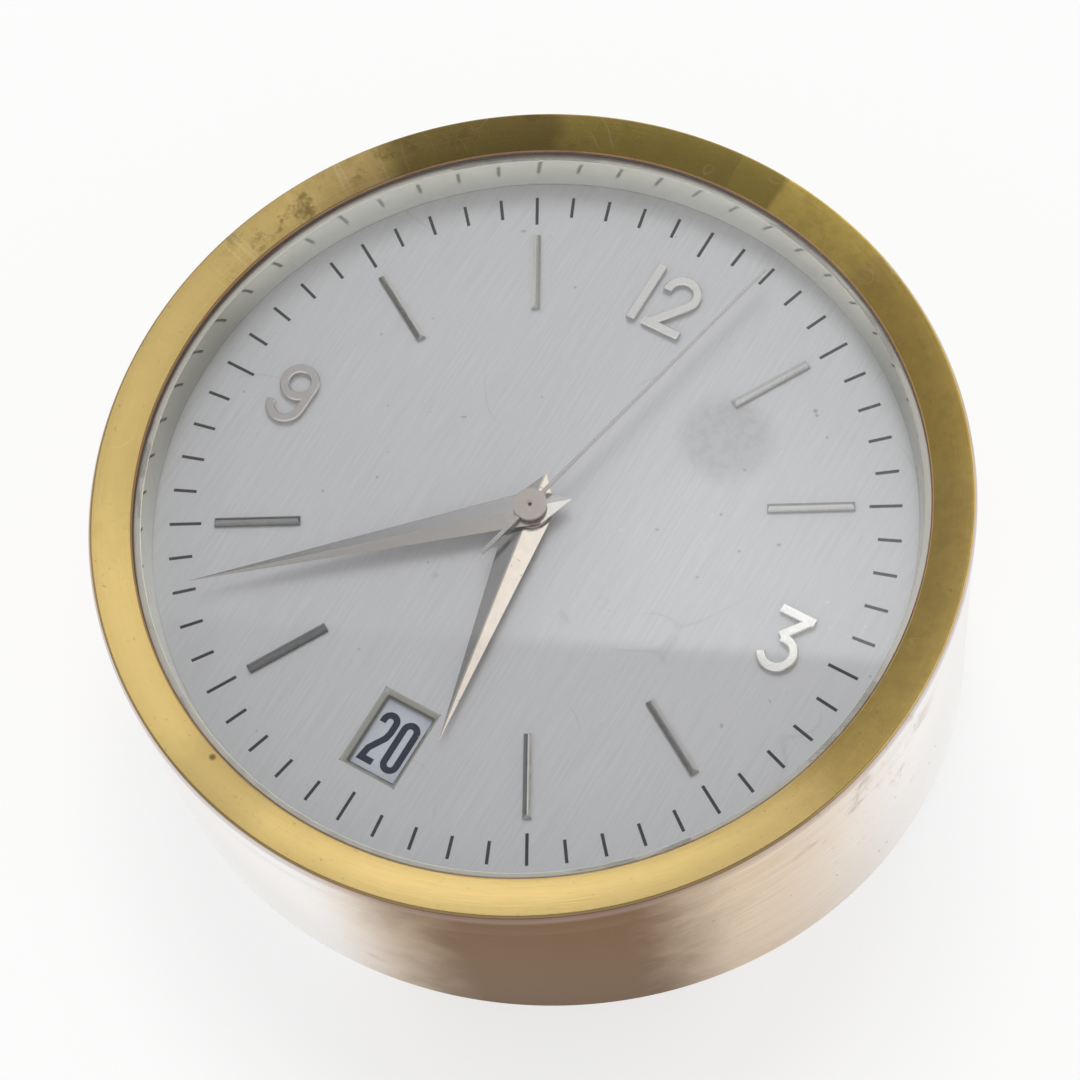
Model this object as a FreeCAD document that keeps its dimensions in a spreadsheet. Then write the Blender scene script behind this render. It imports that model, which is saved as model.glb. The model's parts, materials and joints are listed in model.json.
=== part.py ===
import FreeCAD, Part
import math
import os
import Sketcher

# Wedge-shaped round desk clock with a sweep second hand and a date window.
# The dial frame has its origin at the middle of the dial face, X to three o'clock,
# Y to twelve o'clock and Z out of the dial. The clock frame stands on the desk:
# X is the same, Z is up, and the dial faces up and to the front (-Y).

doc = FreeCAD.newDocument("desk_clock")
sheet = doc.addObject("Spreadsheet::Sheet", "Sizes")

# Driving dimensions, in millimetres and degrees
SIZES = {
    # case
    "case_radius": 60.0,
    "case_wall": 3.0,
    "tilt": 9.73,
    "base_depth": 40.23,
    "edge_break": 0.3,
    # bezel, glass and the sloping ring round the dial
    "bezel_step": 0.3,
    "bezel_edge_height": 7.55,
    "bezel_face": 5.7,
    "bezel_mouth_height": 6.5,
    "bezel_lip": 0.6,
    "fit_gap": 0.03,
    "flange_top": 5.45,
    "flange_lip": 0.93,
    "flange_lean": 0.57,
    "glass_thickness": 1.0,
    # dial, its seat in the case and the date window
    "dial_thickness": 0.8,
    "dial_gap": 0.15,
    "dial_hole_radius": 2.4,
    "seat_width": 9.0,
    "seat_thickness": 2.4,
    "window_radius": 37.0,
    "window_width": 7.0,
    "window_height": 10.3,
    "window_bevel": 0.8,
    "window_depth": 1.05,
    "window_skirt": 0.25,
    # hour bars and numerals, applied to the dial
    "bar_start": 32.0,
    "bar_length": 11.9,
    "bar_width": 1.25,
    "bar_height": 0.95,
    "bar_side": 0.4,
    "figure_tall": 9.45,
    "figure_wide": 5.7,
    "figure_stroke": 1.3,
    "figure_height": 0.85,
    "figure_reach": 42.0,
    "one_gap": 1.15,
    # hands
    "hour_hand_length": 35.6,
    "hour_hand_width": 6.2,
    "hour_hand_tail": 6.0,
    "hour_hand_angle": 169.5,
    "hour_hand_level": 1.3,
    "minute_hand_length": 47.4,
    "minute_hand_width": 5.2,
    "minute_hand_tail": 5.8,
    "minute_hand_angle": 228.3,
    "minute_hand_level": 2.25,
    "second_hand_length": 48.0,
    "second_hand_width": 0.6,
    "second_hand_tip": 0.4,
    "second_hand_tail": 9.5,
    "second_hand_angle": 12.5,
    "second_hand_level": 3.25,
    "second_hub_radius": 2.35,
    "second_hub_height": 0.45,
    "sleeve_drop": 0.15,
    "hand_shoulder": 1.0,
    "hand_edge": 0.15,
    "hand_ridge": 0.42,
    "collet_wall": 0.65,
    "collet_height": 0.75,
    # arbors and pipes at the middle of the dial
    "seconds_arbor_radius": 0.55,
    "cannon_radius": 1.25,
    "hour_pipe_radius": 1.95,
    "running_gap": 0.06,
    "arbor_radius": 0.7,
    "stud_radius": 0.8,
    # date ring and the plate that carries it
    "date_ring_depth": 1.45,
    "date_ring_thickness": 0.5,
    "date_ring_gap": 0.1,
    "date_ring_radius": 43.4,
    "date_root_radius": 31.0,
    "date_tooth_depth": 2.0,
    "date_teeth": 31,
    "calendar_bore": 28.0,
    "calendar_rim": 3.0,
    "calendar_thickness": 1.2,
    "calendar_post_radius": 2.0,
    "calendar_post_circle": 35.0,
    "strap_width": 8.0,
    "strap_thickness": 1.4,
    "strap_lap": 4.5,
    "strap_setback": 3.5,
    "strap_screw_radius": 1.0,
    "strap_screw_head": 1.9,
    # movement plates
    "motion_space": 4.3,
    "plate_thickness": 1.5,
    "plate_spacing": 8.0,
    "front_plate_radius": 40.0,
    "back_plate_radius": 33.0,
    "pillar_radius": 2.0,
    "pillar_circle": 30.0,
    "pillar_screw_radius": 0.9,
    "pillar_screw_head": 1.7,
    # trains: distances between arbors and numbers of teeth
    "train_distance": 12.24,
    "motion_distance": 12.0,
    "date_distance": 16.2,
    "seconds_wheel_teeth": 60,
    "seconds_pinion_teeth": 8,
    "third_wheel_teeth": 60,
    "third_pinion_teeth": 8,
    "centre_wheel_teeth": 64,
    "index_pinion_teeth": 12,
    "cannon_teeth": 12,
    "minute_wheel_teeth": 36,
    "minute_pinion_teeth": 10,
    "hour_wheel_teeth": 40,
    "date_pinion_teeth": 18,
    "date_wheel_teeth": 36,
    "setting_pinion_teeth": 12,
    "wheel_thickness": 0.5,
    "thin_wheel": 0.4,
    "pivot_inset": 0.1,
    "back_wheel_space": 0.9,
    "third_wheel_space": 0.7,
    "centre_wheel_space": 0.9,
    "leaf_overrun": 0.5,
    "mesh_overrun": 0.4,
    "motion_clearance": 0.3,
    "motion_wheel_space": 0.5,
    "date_wheel_space": 0.4,
    "pinion_overrun": 0.1,
    "washer_reach": 2.4,
    "washer_gap": 0.05,
    "third_direction": 150.0,
    "index_direction": -20.0,
    "minute_wheel_direction": 210.0,
    "date_wheel_direction": -30.0,
    "setting_direction": 210.0,
    # index wheel, balance, coil and regulator
    "index_wheel_radius": 5.2,
    "index_wheel_teeth": 30,
    "balance_distance": 22.0,
    "balance_direction": -50.0,
    "balance_radius": 9.0,
    "balance_rim": 1.4,
    "balance_thickness": 1.1,
    "magnet_circle": 6.5,
    "magnet_radius": 1.1,
    "magnet_height": 0.65,
    "magnet_air_gap": 0.35,
    "spoke_margin": 0.3,
    "coil_radius": 3.3,
    "coil_bore": 1.2,
    "coil_height": 3.0,
    "coil_flange": 0.4,
    "collar_radius": 1.0,
    "hairspring_turns": 5,
    "hairspring_strip": 0.14,
    "hairspring_height": 0.4,
    "hairspring_reach": 3.1,
    "spring_drop": 0.6,
    "collar_overrun": 0.2,
    "regulator_boss": 2.1,
    "regulator_ring": 3.0,
    "regulator_reach": 13.0,
    "regulator_thickness": 0.4,
    "regulator_arm": 1.6,
    "boss_overrun": 0.3,
    # date finger and jumper
    "finger_length": 13.5,
    "finger_width": 1.4,
    "finger_direction": 95.0,
    "jumper_eye": 1.8,
    "jumper_circle": 23.5,
    "jumper_direction": 140.0,
    "jumper_lead": 27.0,
    "jumper_strip": 0.5,
    "jumper_nose": 0.85,
    "jumper_drop": 1.2,
    # setting stem and knob
    "stem_radius": 1.1,
    "stem_overrun": 0.6,
    "knob_floor": 1.0,
    "knob_radius": 6.5,
    "knob_height": 4.5,
    "knob_clearance": 1.2,
    "knob_room": 2.6,
    "knob_flutes": 24,
    "knob_flute_radius": 0.45,
    # base
    "cover_thickness": 2.0,
    "felt_thickness": 0.8,
    "felt_width": 7.8,
    "felt_room": 1.0,
    "cover_gap": 0.1,
    "lug_radius": 3.4,
    "lug_height": 12.0,
    "lug_setback": 3.8,
    "base_screw_radius": 1.4,
    "base_screw_head": 2.7,
    "base_screw_length": 9.0,
    "screw_room": 0.5,
    # battery, its tray, contacts and hatch
    "battery_radius": 13.1,
    "battery_length": 48.5,
    "battery_nub_radius": 3.0,
    "battery_nub": 1.5,
    "battery_setback": 34.9,
    "battery_rest": 0.3,
    "tray_wall": 1.3,
    "tray_room": 0.35,
    "tray_height": 11.0,
    "contact_thickness": 0.4,
    "contact_width": 9.0,
    "contact_height": 17.0,
    "contact_room": 1.0,
    "hatch_gap": 0.3,
    "hatch_pin_radius": 0.5,
    "pin_end_play": 0.2,
    "hatch_overlap": 4.0,
    "notch_radius": 5.0,
    # circuit board and leads
    "board_length": 34.0,
    "board_width": 20.0,
    "board_thickness": 1.4,
    "board_centre_x": 6.0,
    "board_centre_y": -14.0,
    "board_spacer": 2.8,
    "board_spacer_radius": 2.2,
    "board_hole_radius": 1.1,
    "board_margin": 3.5,
    "board_rivet": 0.9,
    "can_radius": 2.3,
    "can_height": 4.5,
    "can_rim": 0.5,
    "can_rim_height": 0.6,
    "capacitor_radius": 2.6,
    "capacitor_length": 11.0,
    "resistor_radius": 1.2,
    "resistor_length": 7.0,
    "lead_spread": 12.0,
    "lead_clearance": 2.5,
    "lead_drop": 1.5,
    "lead_radius": 0.6,
}

for row, (alias, value) in enumerate(SIZES.items(), start=1):
    sheet.set("A%d" % row, alias)
    sheet.set("B%d" % row, str(value))
    sheet.setAlias("B%d" % row, alias)
doc.recompute()


class Size:
    """A number together with the sheet expression that gives it."""

    def __init__(self, text, number):
        self.text = text
        self.number = number

    def __add__(self, other):
        other = as_size(other)
        return Size("(%s + %s)" % (self.text, other.text), self.number + other.number)

    __radd__ = __add__

    def __sub__(self, other):
        other = as_size(other)
        return Size("(%s - %s)" % (self.text, other.text), self.number - other.number)

    def __rsub__(self, other):
        return as_size(other) - self

    def __mul__(self, other):
        other = as_size(other)
        return Size("(%s * %s)" % (self.text, other.text), self.number * other.number)

    __rmul__ = __mul__

    def __neg__(self):
        return Size("(0 - %s)" % self.text, -self.number)


def as_size(value):
    """A plain number as a Size."""
    if isinstance(value, Size):
        return value
    return Size(repr(float(value)), float(value))


class Names:
    """The sheet's values under their aliases."""


# s holds plain numbers read back from the sheet, e the same values as expressions
s = Names()
e = Names()
for alias in SIZES:
    number = float(getattr(sheet, alias))
    setattr(s, alias, number)
    setattr(e, alias, Size("Sizes." + alias, number))

# Radii and levels that follow from them, worked out once for the plain shapes and the bound ones
for level in (s, e):
    level.dial_back = -1 * level.dial_thickness
    level.case_front = level.bezel_edge_height - level.bezel_lip
    level.case_bore = level.case_radius - level.case_wall
    level.bezel_edge_radius = level.case_radius - level.bezel_step
    level.bezel_mouth_radius = level.bezel_edge_radius - level.bezel_face
    level.flange_top_radius = level.bezel_mouth_radius - level.flange_lip
    level.flange_foot_radius = level.flange_top_radius - level.flange_lean
    level.lug_circle = level.case_bore - level.lug_setback
    level.felt_outer = level.case_bore - 2 * level.cover_gap
    level.felt_inner = level.felt_outer - level.felt_width
    level.seat_back = level.dial_back - level.seat_thickness
    level.ring_top = -1 * level.date_ring_depth
    level.ring_bottom = level.ring_top - level.date_ring_thickness
    level.calendar_top = level.ring_bottom - level.date_ring_gap
    level.calendar_bottom = level.calendar_top - level.calendar_thickness
    level.calendar_radius = level.date_ring_radius + level.date_ring_gap + level.calendar_rim
    level.date_tip_radius = level.date_root_radius - level.date_tooth_depth
    level.strap_inner = level.calendar_radius - level.strap_lap
    level.strap_outer = level.case_bore - level.strap_setback
    level.front_top = level.dial_back - level.motion_space
    level.front_bottom = level.front_top - level.plate_thickness
    level.back_top = level.front_bottom - level.plate_spacing
    level.back_bottom = level.back_top - level.plate_thickness
    level.cannon_bore = level.seconds_arbor_radius + level.running_gap
    level.hour_bore = level.cannon_radius + level.running_gap
    level.board_top = level.back_bottom - level.board_spacer

TILT = math.radians(s.tilt)
Vector = FreeCAD.Vector

# The base is an oblique cut, so its outline is longer than the drum is wide. The clock
# frame's origin is under the middle of the whole clock's outline, on the desk.
BACK_EDGE = s.case_radius * math.cos(TILT)
BACK_EDGE += (s.base_depth + s.case_radius * math.tan(TILT)) * math.sin(TILT)
FRONT_EDGE = -s.case_radius * math.cos(TILT) - (s.case_front - s.edge_break) * math.sin(TILT)
ORIGIN_Y = -(BACK_EDGE + FRONT_EDGE) / 2
ORIGIN_Z = s.base_depth * math.cos(TILT)
DIAL_PLACE = FreeCAD.Placement(
    Vector(0, ORIGIN_Y, ORIGIN_Z),
    FreeCAD.Rotation(Vector(1, 0, 0), s.tilt),
)


def polar(radius, degrees):
    """A point at a radius and an angle anticlockwise from three o'clock."""
    angle = math.radians(degrees)
    return Vector(radius * math.cos(angle), radius * math.sin(angle), 0)


def clock_angle(degrees):
    """The angle anticlockwise from three o'clock of an angle clockwise from twelve."""
    return 90.0 - degrees


nodes = []


def keep(item, label, placed=True):
    """Name a finished sub-part and, if it was made in the dial frame, place it."""
    item.Label = label
    if placed:
        item.Placement = DIAL_PLACE.multiply(item.Placement)
    nodes.append(item)
    return item


# Sketch and feature helpers
def new_body(name):
    """An empty body."""
    return doc.addObject("PartDesign::Body", name + "_body")


def new_sketch(body, name, role, level=0.0):
    """A sketch on one of the body's own planes, raised by level."""
    sketch = body.newObject("Sketcher::SketchObject", name)
    plane = next(f for f in body.Origin.OriginFeatures if f.Role == role)
    sketch.AttachmentSupport = [(plane, "")]
    sketch.MapMode = "FlatFace"
    sketch.setExpression("AttachmentOffset.Base.z", as_size(level).text)
    return sketch


def bind(sketch, kind, geometry, point, value):
    """Tie one coordinate of a point of the sketch to an expression."""
    value = as_size(value)
    made = Sketcher.Constraint(kind, -1, 1, geometry, point, value.number)
    index = sketch.addConstraint(made)
    sketch.setExpression("Constraints[%d]" % index, value.text)


def add_polygon(sketch, points):
    """A closed outline of straight lines through points given as pairs of sizes."""
    corners = [Vector(as_size(x).number, as_size(y).number, 0) for x, y in points]
    first = sketch.GeometryCount
    count = len(points)
    for index in range(count):
        line = Part.LineSegment(corners[index], corners[(index + 1) % count])
        sketch.addGeometry(line, False)
    for index in range(count):
        after = first + (index + 1) % count
        sketch.addConstraint(Sketcher.Constraint("Coincident", first + index, 2, after, 1))
    for index, (x, y) in enumerate(points):
        bind(sketch, "DistanceX", first + index, 1, x)
        bind(sketch, "DistanceY", first + index, 1, y)


def add_circle(sketch, x, y, radius):
    """A circle with its centre and radius tied to the sheet."""
    radius = as_size(radius)
    centre = Vector(as_size(x).number, as_size(y).number, 0)
    index = sketch.addGeometry(Part.Circle(centre, Vector(0, 0, 1), radius.number), False)
    bind(sketch, "DistanceX", index, 3, x)
    bind(sketch, "DistanceY", index, 3, y)
    made = sketch.addConstraint(Sketcher.Constraint("Radius", index, radius.number))
    sketch.setExpression("Constraints[%d]" % made, radius.text)


def turned(name, points):
    """A body turned about the dial axis from an outline of (radius, height) pairs."""
    body = new_body(name)
    sketch = new_sketch(body, name + "_profile", "XZ_Plane")
    add_polygon(sketch, points)
    turning = body.newObject("PartDesign::Revolution", name + "_turned")
    turning.Profile = sketch
    turning.ReferenceAxis = (sketch, ["V_Axis"])
    turning.Angle = 360
    return body


def pad(body, name, level, length, circles=(), polygons=()):
    """Raise circles and outlines by a length from a level; inner ones become holes."""
    sketch = new_sketch(body, name + "_sketch", "XY_Plane", level)
    for x, y, radius in circles:
        add_circle(sketch, x, y, radius)
    for points in polygons:
        add_polygon(sketch, points)
    feature = body.newObject("PartDesign::Pad", name)
    feature.Profile = sketch
    feature.setExpression("Length", as_size(length).text)
    return feature


def pocket(body, name, level, length, circles=(), polygons=()):
    """Cut circles and outlines downwards by a length from a level."""
    sketch = new_sketch(body, name + "_sketch", "XY_Plane", level)
    for x, y, radius in circles:
        add_circle(sketch, x, y, radius)
    for points in polygons:
        add_polygon(sketch, points)
    feature = body.newObject("PartDesign::Pocket", name)
    feature.Profile = sketch
    feature.setExpression("Length", as_size(length).text)
    return feature


# Plain primitives bound to the sheet
def cylinder(name, radius, height, base=Vector(), placement=None):
    """A cylinder along its own Z from a base point."""
    item = doc.addObject("Part::Cylinder", name)
    item.setExpression("Radius", as_size(radius).text)
    item.setExpression("Height", as_size(height).text)
    local = FreeCAD.Placement(base, FreeCAD.Rotation())
    item.Placement = placement.multiply(local) if placement else local
    return item


def rod_along_x(name, radius, length, centre):
    """A cylinder along X with its middle at a point."""
    item = doc.addObject("Part::Cylinder", name)
    item.setExpression("Radius", as_size(radius).text)
    item.setExpression("Height", as_size(length).text)
    start = centre - Vector(as_size(length).number / 2, 0, 0)
    item.Placement = FreeCAD.Placement(start, FreeCAD.Rotation(Vector(0, 1, 0), 90))
    return item


def block(name, length, width, height, corner):
    """A box from its lowest corner."""
    item = doc.addObject("Part::Box", name)
    item.setExpression("Length", as_size(length).text)
    item.setExpression("Width", as_size(width).text)
    item.setExpression("Height", as_size(height).text)
    item.Placement = FreeCAD.Placement(corner, FreeCAD.Rotation())
    return item


def cut(name, base, tool):
    """One object less another."""
    item = doc.addObject("Part::Cut", name)
    item.Base = base
    item.Tool = tool
    return item


def common(name, base, tool):
    """What two objects share."""
    item = doc.addObject("Part::Common", name)
    item.Base = base
    item.Tool = tool
    return item


def joined(name, items):
    """Several objects as one."""
    item = doc.addObject("Part::MultiFuse", name)
    item.Shapes = items
    return item


def plain(name, shape, label=None, placed=True):
    """A piece whose shape is worked out from the sheet's values."""
    item = doc.addObject("Part::Feature", name + "_shape")
    item.Shape = shape
    return keep(item, label or name, placed)


# Shape helpers for the pieces that are neither turned nor padded
def disc(radius, low, high, centre=Vector()):
    """A solid disc between two levels."""
    return Part.makeCylinder(radius, high - low, centre + Vector(0, 0, low))


def tube(outer, inner, low, high, centre=Vector()):
    """A disc with a bore."""
    return disc(outer, low, high, centre).cut(disc(inner, low - 1, high + 1, centre))


def face_of(points):
    """A flat face with straight sides through points."""
    return Part.Face(Part.makePolygon(list(points) + [points[0]]))


def prism(points, low, high):
    """A flat outline raised from one level to another."""
    raised = [Vector(p.x, p.y, low) for p in points]
    return face_of(raised).extrude(Vector(0, 0, high - low))


def bar(start, end, width, low, high):
    """A straight strip of a width between two points."""
    along = (end - start).normalize()
    side = Vector(-along.y, along.x, 0) * (width / 2)
    return prism([start + side, start - side, end - side, end + side], low, high)


def arc_band(centre, radius, width, start, sweep, low, high):
    """A band along an arc, from a start angle through a sweep in degrees."""
    def at(distance, share):
        return centre + polar(distance, start + sweep * share) + Vector(0, 0, low)

    outer = radius + width / 2
    inner = radius - width / 2
    edges = [
        Part.Arc(at(outer, 0), at(outer, 0.5), at(outer, 1)).toShape(),
        Part.makeLine(at(outer, 1), at(inner, 1)),
        Part.Arc(at(inner, 1), at(inner, 0.5), at(inner, 0)).toShape(),
        Part.makeLine(at(inner, 0), at(outer, 0)),
    ]
    return Part.Face(Part.Wire(edges)).extrude(Vector(0, 0, high - low))


def united(shapes):
    """Solids melted into one, with leftover seams removed."""
    return shapes[0].multiFuse(shapes[1:]).removeSplitter()


# Gear teeth: half widths at root, pitch line and tip as shares of the tooth pitch, and
# heights as shares of the module. Both give the play that clock trains run with.
TOOTH_ROOT = 0.23
TOOTH_PITCH = 0.19
TOOTH_TIP = 0.08
LEAF_ROOT = 0.17
LEAF_PITCH = 0.18
LEAF_TIP = 0.09
ADDENDUM = 0.8
DEDENDUM = 1.15
SMALLEST_WHEEL = 16


def module_of(distance, first, second):
    """The module that meshes two tooth counts at a centre distance."""
    return 2 * distance / (first + second)


def gear(teeth, module, phase, low, high, centre=Vector()):
    """A toothed disc; phase is the direction of one tooth, in degrees."""
    teeth = int(teeth)
    pitch_radius = teeth * module / 2
    shares = (LEAF_ROOT, LEAF_PITCH, LEAF_TIP)
    if teeth >= SMALLEST_WHEEL:
        shares = (TOOTH_ROOT, TOOTH_PITCH, TOOTH_TIP)
    rings = (
        pitch_radius - DEDENDUM * module,
        pitch_radius,
        pitch_radius + ADDENDUM * module,
    )
    step = 360.0 / teeth
    points = []
    for index in range(teeth):
        middle = phase + index * step
        for radius, share in zip(rings, shares):
            points.append(centre + polar(radius, middle - share * step))
        for radius, share in zip(reversed(rings), reversed(shares)):
            points.append(centre + polar(radius, middle + share * step))
    return prism(points, low, high)


def mesh_phase(teeth, phase, direction, partner_teeth):
    """The partner's phase when its centre lies in a direction from this gear's centre."""
    beyond = teeth * (direction - phase) / 360.0
    return direction + 180.0 - (0.5 - beyond) * 360.0 / partner_teeth


# Case: the brass drum, cut off obliquely where it stands on the desk
FAR = 80.0
drum = turned("case_drum", [
    (e.case_bore, e.case_front),
    (e.case_radius - e.edge_break, e.case_front),
    (e.case_radius, e.case_front - e.edge_break),
    (e.case_radius, as_size(-FAR)),
    (e.case_bore, as_size(-FAR)),
])
slope = Size("tan(Sizes.tilt * 1 deg)", math.tan(TILT))
wedge_sketch = new_sketch(drum, "base_cut_outline", "YZ_Plane")
add_polygon(wedge_sketch, [
    (-FAR, slope * FAR - e.base_depth),
    (FAR, -slope * FAR - e.base_depth),
    (FAR, -2 * FAR),
    (-FAR, -2 * FAR),
])
wedge = drum.newObject("PartDesign::Pocket", "base_cut")
wedge.Profile = wedge_sketch
wedge.Type = 1
wedge.Midplane = True
drum.Placement = DIAL_PLACE

# Bezel: a turned ring pressed into the drum, its face sloping in to the glass
keep(turned("bezel_ring", [
    (e.bezel_mouth_radius, e.flange_top),
    (e.case_bore - e.fit_gap, e.flange_top),
    (e.case_bore - e.fit_gap, e.case_front),
    (e.bezel_edge_radius, e.case_front),
    (e.bezel_edge_radius, e.bezel_edge_height - e.edge_break),
    (e.bezel_edge_radius - e.edge_break, e.bezel_edge_height),
    (e.bezel_mouth_radius, e.bezel_mouth_height),
]), "bezel_ring")

# Sloping ring between the dial and the glass
keep(turned("flange_ring", [
    (e.flange_foot_radius, 0),
    (e.case_bore - e.dial_gap, 0),
    (e.case_bore - e.dial_gap, e.flange_top),
    (e.flange_top_radius, e.flange_top),
]), "flange_ring")

# Glass: a flat disc cemented into the bezel
glass = new_body("crystal")
pad(glass, "crystal_disc", e.flange_top, e.glass_thickness,
    circles=[(0, 0, e.bezel_mouth_radius - e.fit_gap)])
keep(glass, "crystal")

# Seat ring soldered into the drum behind the dial
keep(turned("dial_seat", [
    (e.case_bore - e.seat_width, e.seat_back),
    (e.case_bore - e.fit_gap, e.seat_back),
    (e.case_bore - e.fit_gap, e.dial_back),
    (e.case_bore - e.seat_width, e.dial_back),
]), "dial_seat_ring")

# Dial: a thin disc with the hole for the hands and the opening for the date frame
frame_half_width = e.window_width * 0.5 + e.window_bevel
frame_half_height = e.window_height * 0.5 + e.window_bevel


def rectangle(half_width, half_height, grow=0.0):
    """The date window's corners at six o'clock."""
    x = as_size(half_width) + grow
    y = as_size(half_height) + grow
    return [
        (-x, -e.window_radius - y),
        (x, -e.window_radius - y),
        (x, y - e.window_radius),
        (-x, y - e.window_radius),
    ]


dial = new_body("dial_plate")
pad(dial, "dial_disc", e.dial_back, e.dial_thickness,
    circles=[(0, 0, e.case_bore - e.dial_gap), (0, 0, e.dial_hole_radius)],
    polygons=[rectangle(frame_half_width, frame_half_height, e.fit_gap)])
keep(dial, "dial_plate")

# Date window frame: its four faces slope down to the date ring
frame_body = new_body("date_window_frame")
pad(frame_body, "frame_block", -e.window_depth - e.window_skirt + 0.15,
    e.window_depth + e.window_skirt - 0.15,
    polygons=[rectangle(frame_half_width, frame_half_height)])
upper = new_sketch(frame_body, "frame_mouth", "XY_Plane", 0)
add_polygon(upper, rectangle(frame_half_width - 0.05, frame_half_height - 0.05))
lower = new_sketch(frame_body, "frame_throat", "XY_Plane", -e.window_depth - e.window_skirt)
add_polygon(lower, rectangle(
    e.window_width * 0.5 - 0.15,
    e.window_height * 0.5 - 0.15,
))
throat = frame_body.newObject("PartDesign::SubtractiveLoft", "frame_slope")
throat.Profile = upper
throat.Sections = [lower]
throat.Ruled = True
keep(frame_body, "date_window_frame")

# Hour bars: a roof-shaped bar at every hour but 3, 6, 9 and 12
BAR_HOURS = (1, 2, 4, 5, 7, 8, 10, 11)


def hour_bar(hour):
    """A bar with upright sides, two sloping faces and sloping ends."""
    half = s.bar_width / 2
    near = s.bar_start
    far = s.bar_start + s.bar_length
    slab = prism([
        Vector(near, -half, 0),
        Vector(far, -half, 0),
        Vector(far, half, 0),
        Vector(near, half, 0),
    ], 0, s.bar_side)
    corners = [
        Vector(near, -half, s.bar_side),
        Vector(far, -half, s.bar_side),
        Vector(far, half, s.bar_side),
        Vector(near, half, s.bar_side),
    ]
    ridge = [
        Vector(near + half / 2, 0, s.bar_height),
        Vector(far - half / 2, 0, s.bar_height),
    ]
    faces = [
        face_of(corners),
        face_of([corners[0], corners[1], ridge[1], ridge[0]]),
        face_of([corners[2], corners[3], ridge[0], ridge[1]]),
        face_of([corners[1], corners[2], ridge[1]]),
        face_of([corners[3], corners[0], ridge[0]]),
    ]
    roof = Part.Solid(Part.Shell(faces))
    if roof.Volume < 0:
        roof.reverse()
    shape = united([slab, roof])
    shape.rotate(Vector(), Vector(0, 0, 1), clock_angle(30 * hour))
    return shape


for hour in BAR_HOURS:
    plain("hour_bar_%d" % hour, hour_bar(hour))

# Numerals: flat strokes of one width, cut from sheet
HALF_TALL = s.figure_tall / 2
HALF_WIDE = s.figure_wide / 2
STROKE = s.figure_stroke
BOWL = HALF_WIDE - STROKE / 2
BOWL_LIFT = HALF_TALL - HALF_WIDE
TOP = s.figure_height
HOOK_START = 188.0
HOOK_END = -40.0
WAIST = 102.0
BOWL_START = 205.0
BOWL_SWEEP = 257.0
TAIL_SWEEP = -172.0


def figure_two():
    """A hook over a slanting stroke, on a flat foot."""
    centre = Vector(0, BOWL_LIFT, 0)
    hook = arc_band(centre, BOWL, STROKE, HOOK_START, HOOK_END - HOOK_START, 0, TOP)
    leave = centre + polar(BOWL, HOOK_END)
    foot_y = -HALF_TALL + STROKE / 2
    land = Vector(-HALF_WIDE + STROKE * 0.75, -HALF_TALL + STROKE * 0.8, 0)
    slant = bar(leave, land, STROKE, 0, TOP)
    foot = bar(Vector(-HALF_WIDE, foot_y, 0), Vector(HALF_WIDE, foot_y, 0), STROKE, 0, TOP)
    frame = prism([
        Vector(-HALF_WIDE, -HALF_TALL, 0),
        Vector(HALF_WIDE, -HALF_TALL, 0),
        Vector(HALF_WIDE, HALF_TALL, 0),
        Vector(-HALF_WIDE, HALF_TALL, 0),
    ], 0, TOP)
    return united([hook, slant, foot]).common(frame)


def figure_three():
    """A flat top, a slanting stroke back to the waist and a round bowl."""
    centre = Vector(0, -BOWL_LIFT, 0)
    bowl = arc_band(centre, BOWL, STROKE, BOWL_START, BOWL_SWEEP, 0, TOP)
    top_y = HALF_TALL - STROKE / 2
    right = Vector(HALF_WIDE - STROKE * 0.35, top_y, 0)
    top = bar(Vector(-HALF_WIDE * 0.86, top_y, 0), right, STROKE, 0, TOP)
    waist = centre + polar(BOWL, WAIST)
    slant = bar(
        Vector(HALF_WIDE - STROKE * 0.8, HALF_TALL - STROKE * 0.45, 0),
        waist + Vector(-STROKE * 0.3, STROKE * 0.1, 0), STROKE, 0, TOP,
    )
    frame = prism([
        Vector(-HALF_WIDE, -HALF_TALL, 0),
        Vector(HALF_WIDE, -HALF_TALL, 0),
        Vector(HALF_WIDE, HALF_TALL, 0),
        Vector(-HALF_WIDE, HALF_TALL, 0),
    ], 0, TOP)
    return united([bowl, top, slant]).common(frame)


def figure_nine():
    """A ring, a straight right side and a hooked tail."""
    ring = tube(HALF_WIDE, HALF_WIDE - STROKE, 0, TOP, Vector(0, BOWL_LIFT, 0))
    side = bar(Vector(BOWL, BOWL_LIFT, 0), Vector(BOWL, -BOWL_LIFT, 0), STROKE, 0, TOP)
    tail = arc_band(Vector(0, -BOWL_LIFT, 0), BOWL, STROKE, 0.0, TAIL_SWEEP, 0, TOP)
    return united([ring, side, tail])


def moved(shape, x, y):
    """A copy of a shape, shifted in the dial's plane."""
    copy = shape.copy()
    copy.translate(Vector(x, y, 0))
    return copy


twelve_y = s.figure_reach - HALF_TALL
one_half = (STROKE + s.one_gap + s.figure_wide) / 2
one = bar(Vector(STROKE / 2 - one_half, twelve_y - HALF_TALL, 0),
          Vector(STROKE / 2 - one_half, twelve_y + HALF_TALL, 0), STROKE, 0, TOP)
two = moved(figure_two(), one_half - HALF_WIDE, twelve_y)
plain("numeral_12", Part.Compound([one, two]))
plain("numeral_3", moved(figure_three(), s.figure_reach - HALF_WIDE, 0))
plain("numeral_9", moved(figure_nine(), HALF_WIDE - s.figure_reach, 0))


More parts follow.
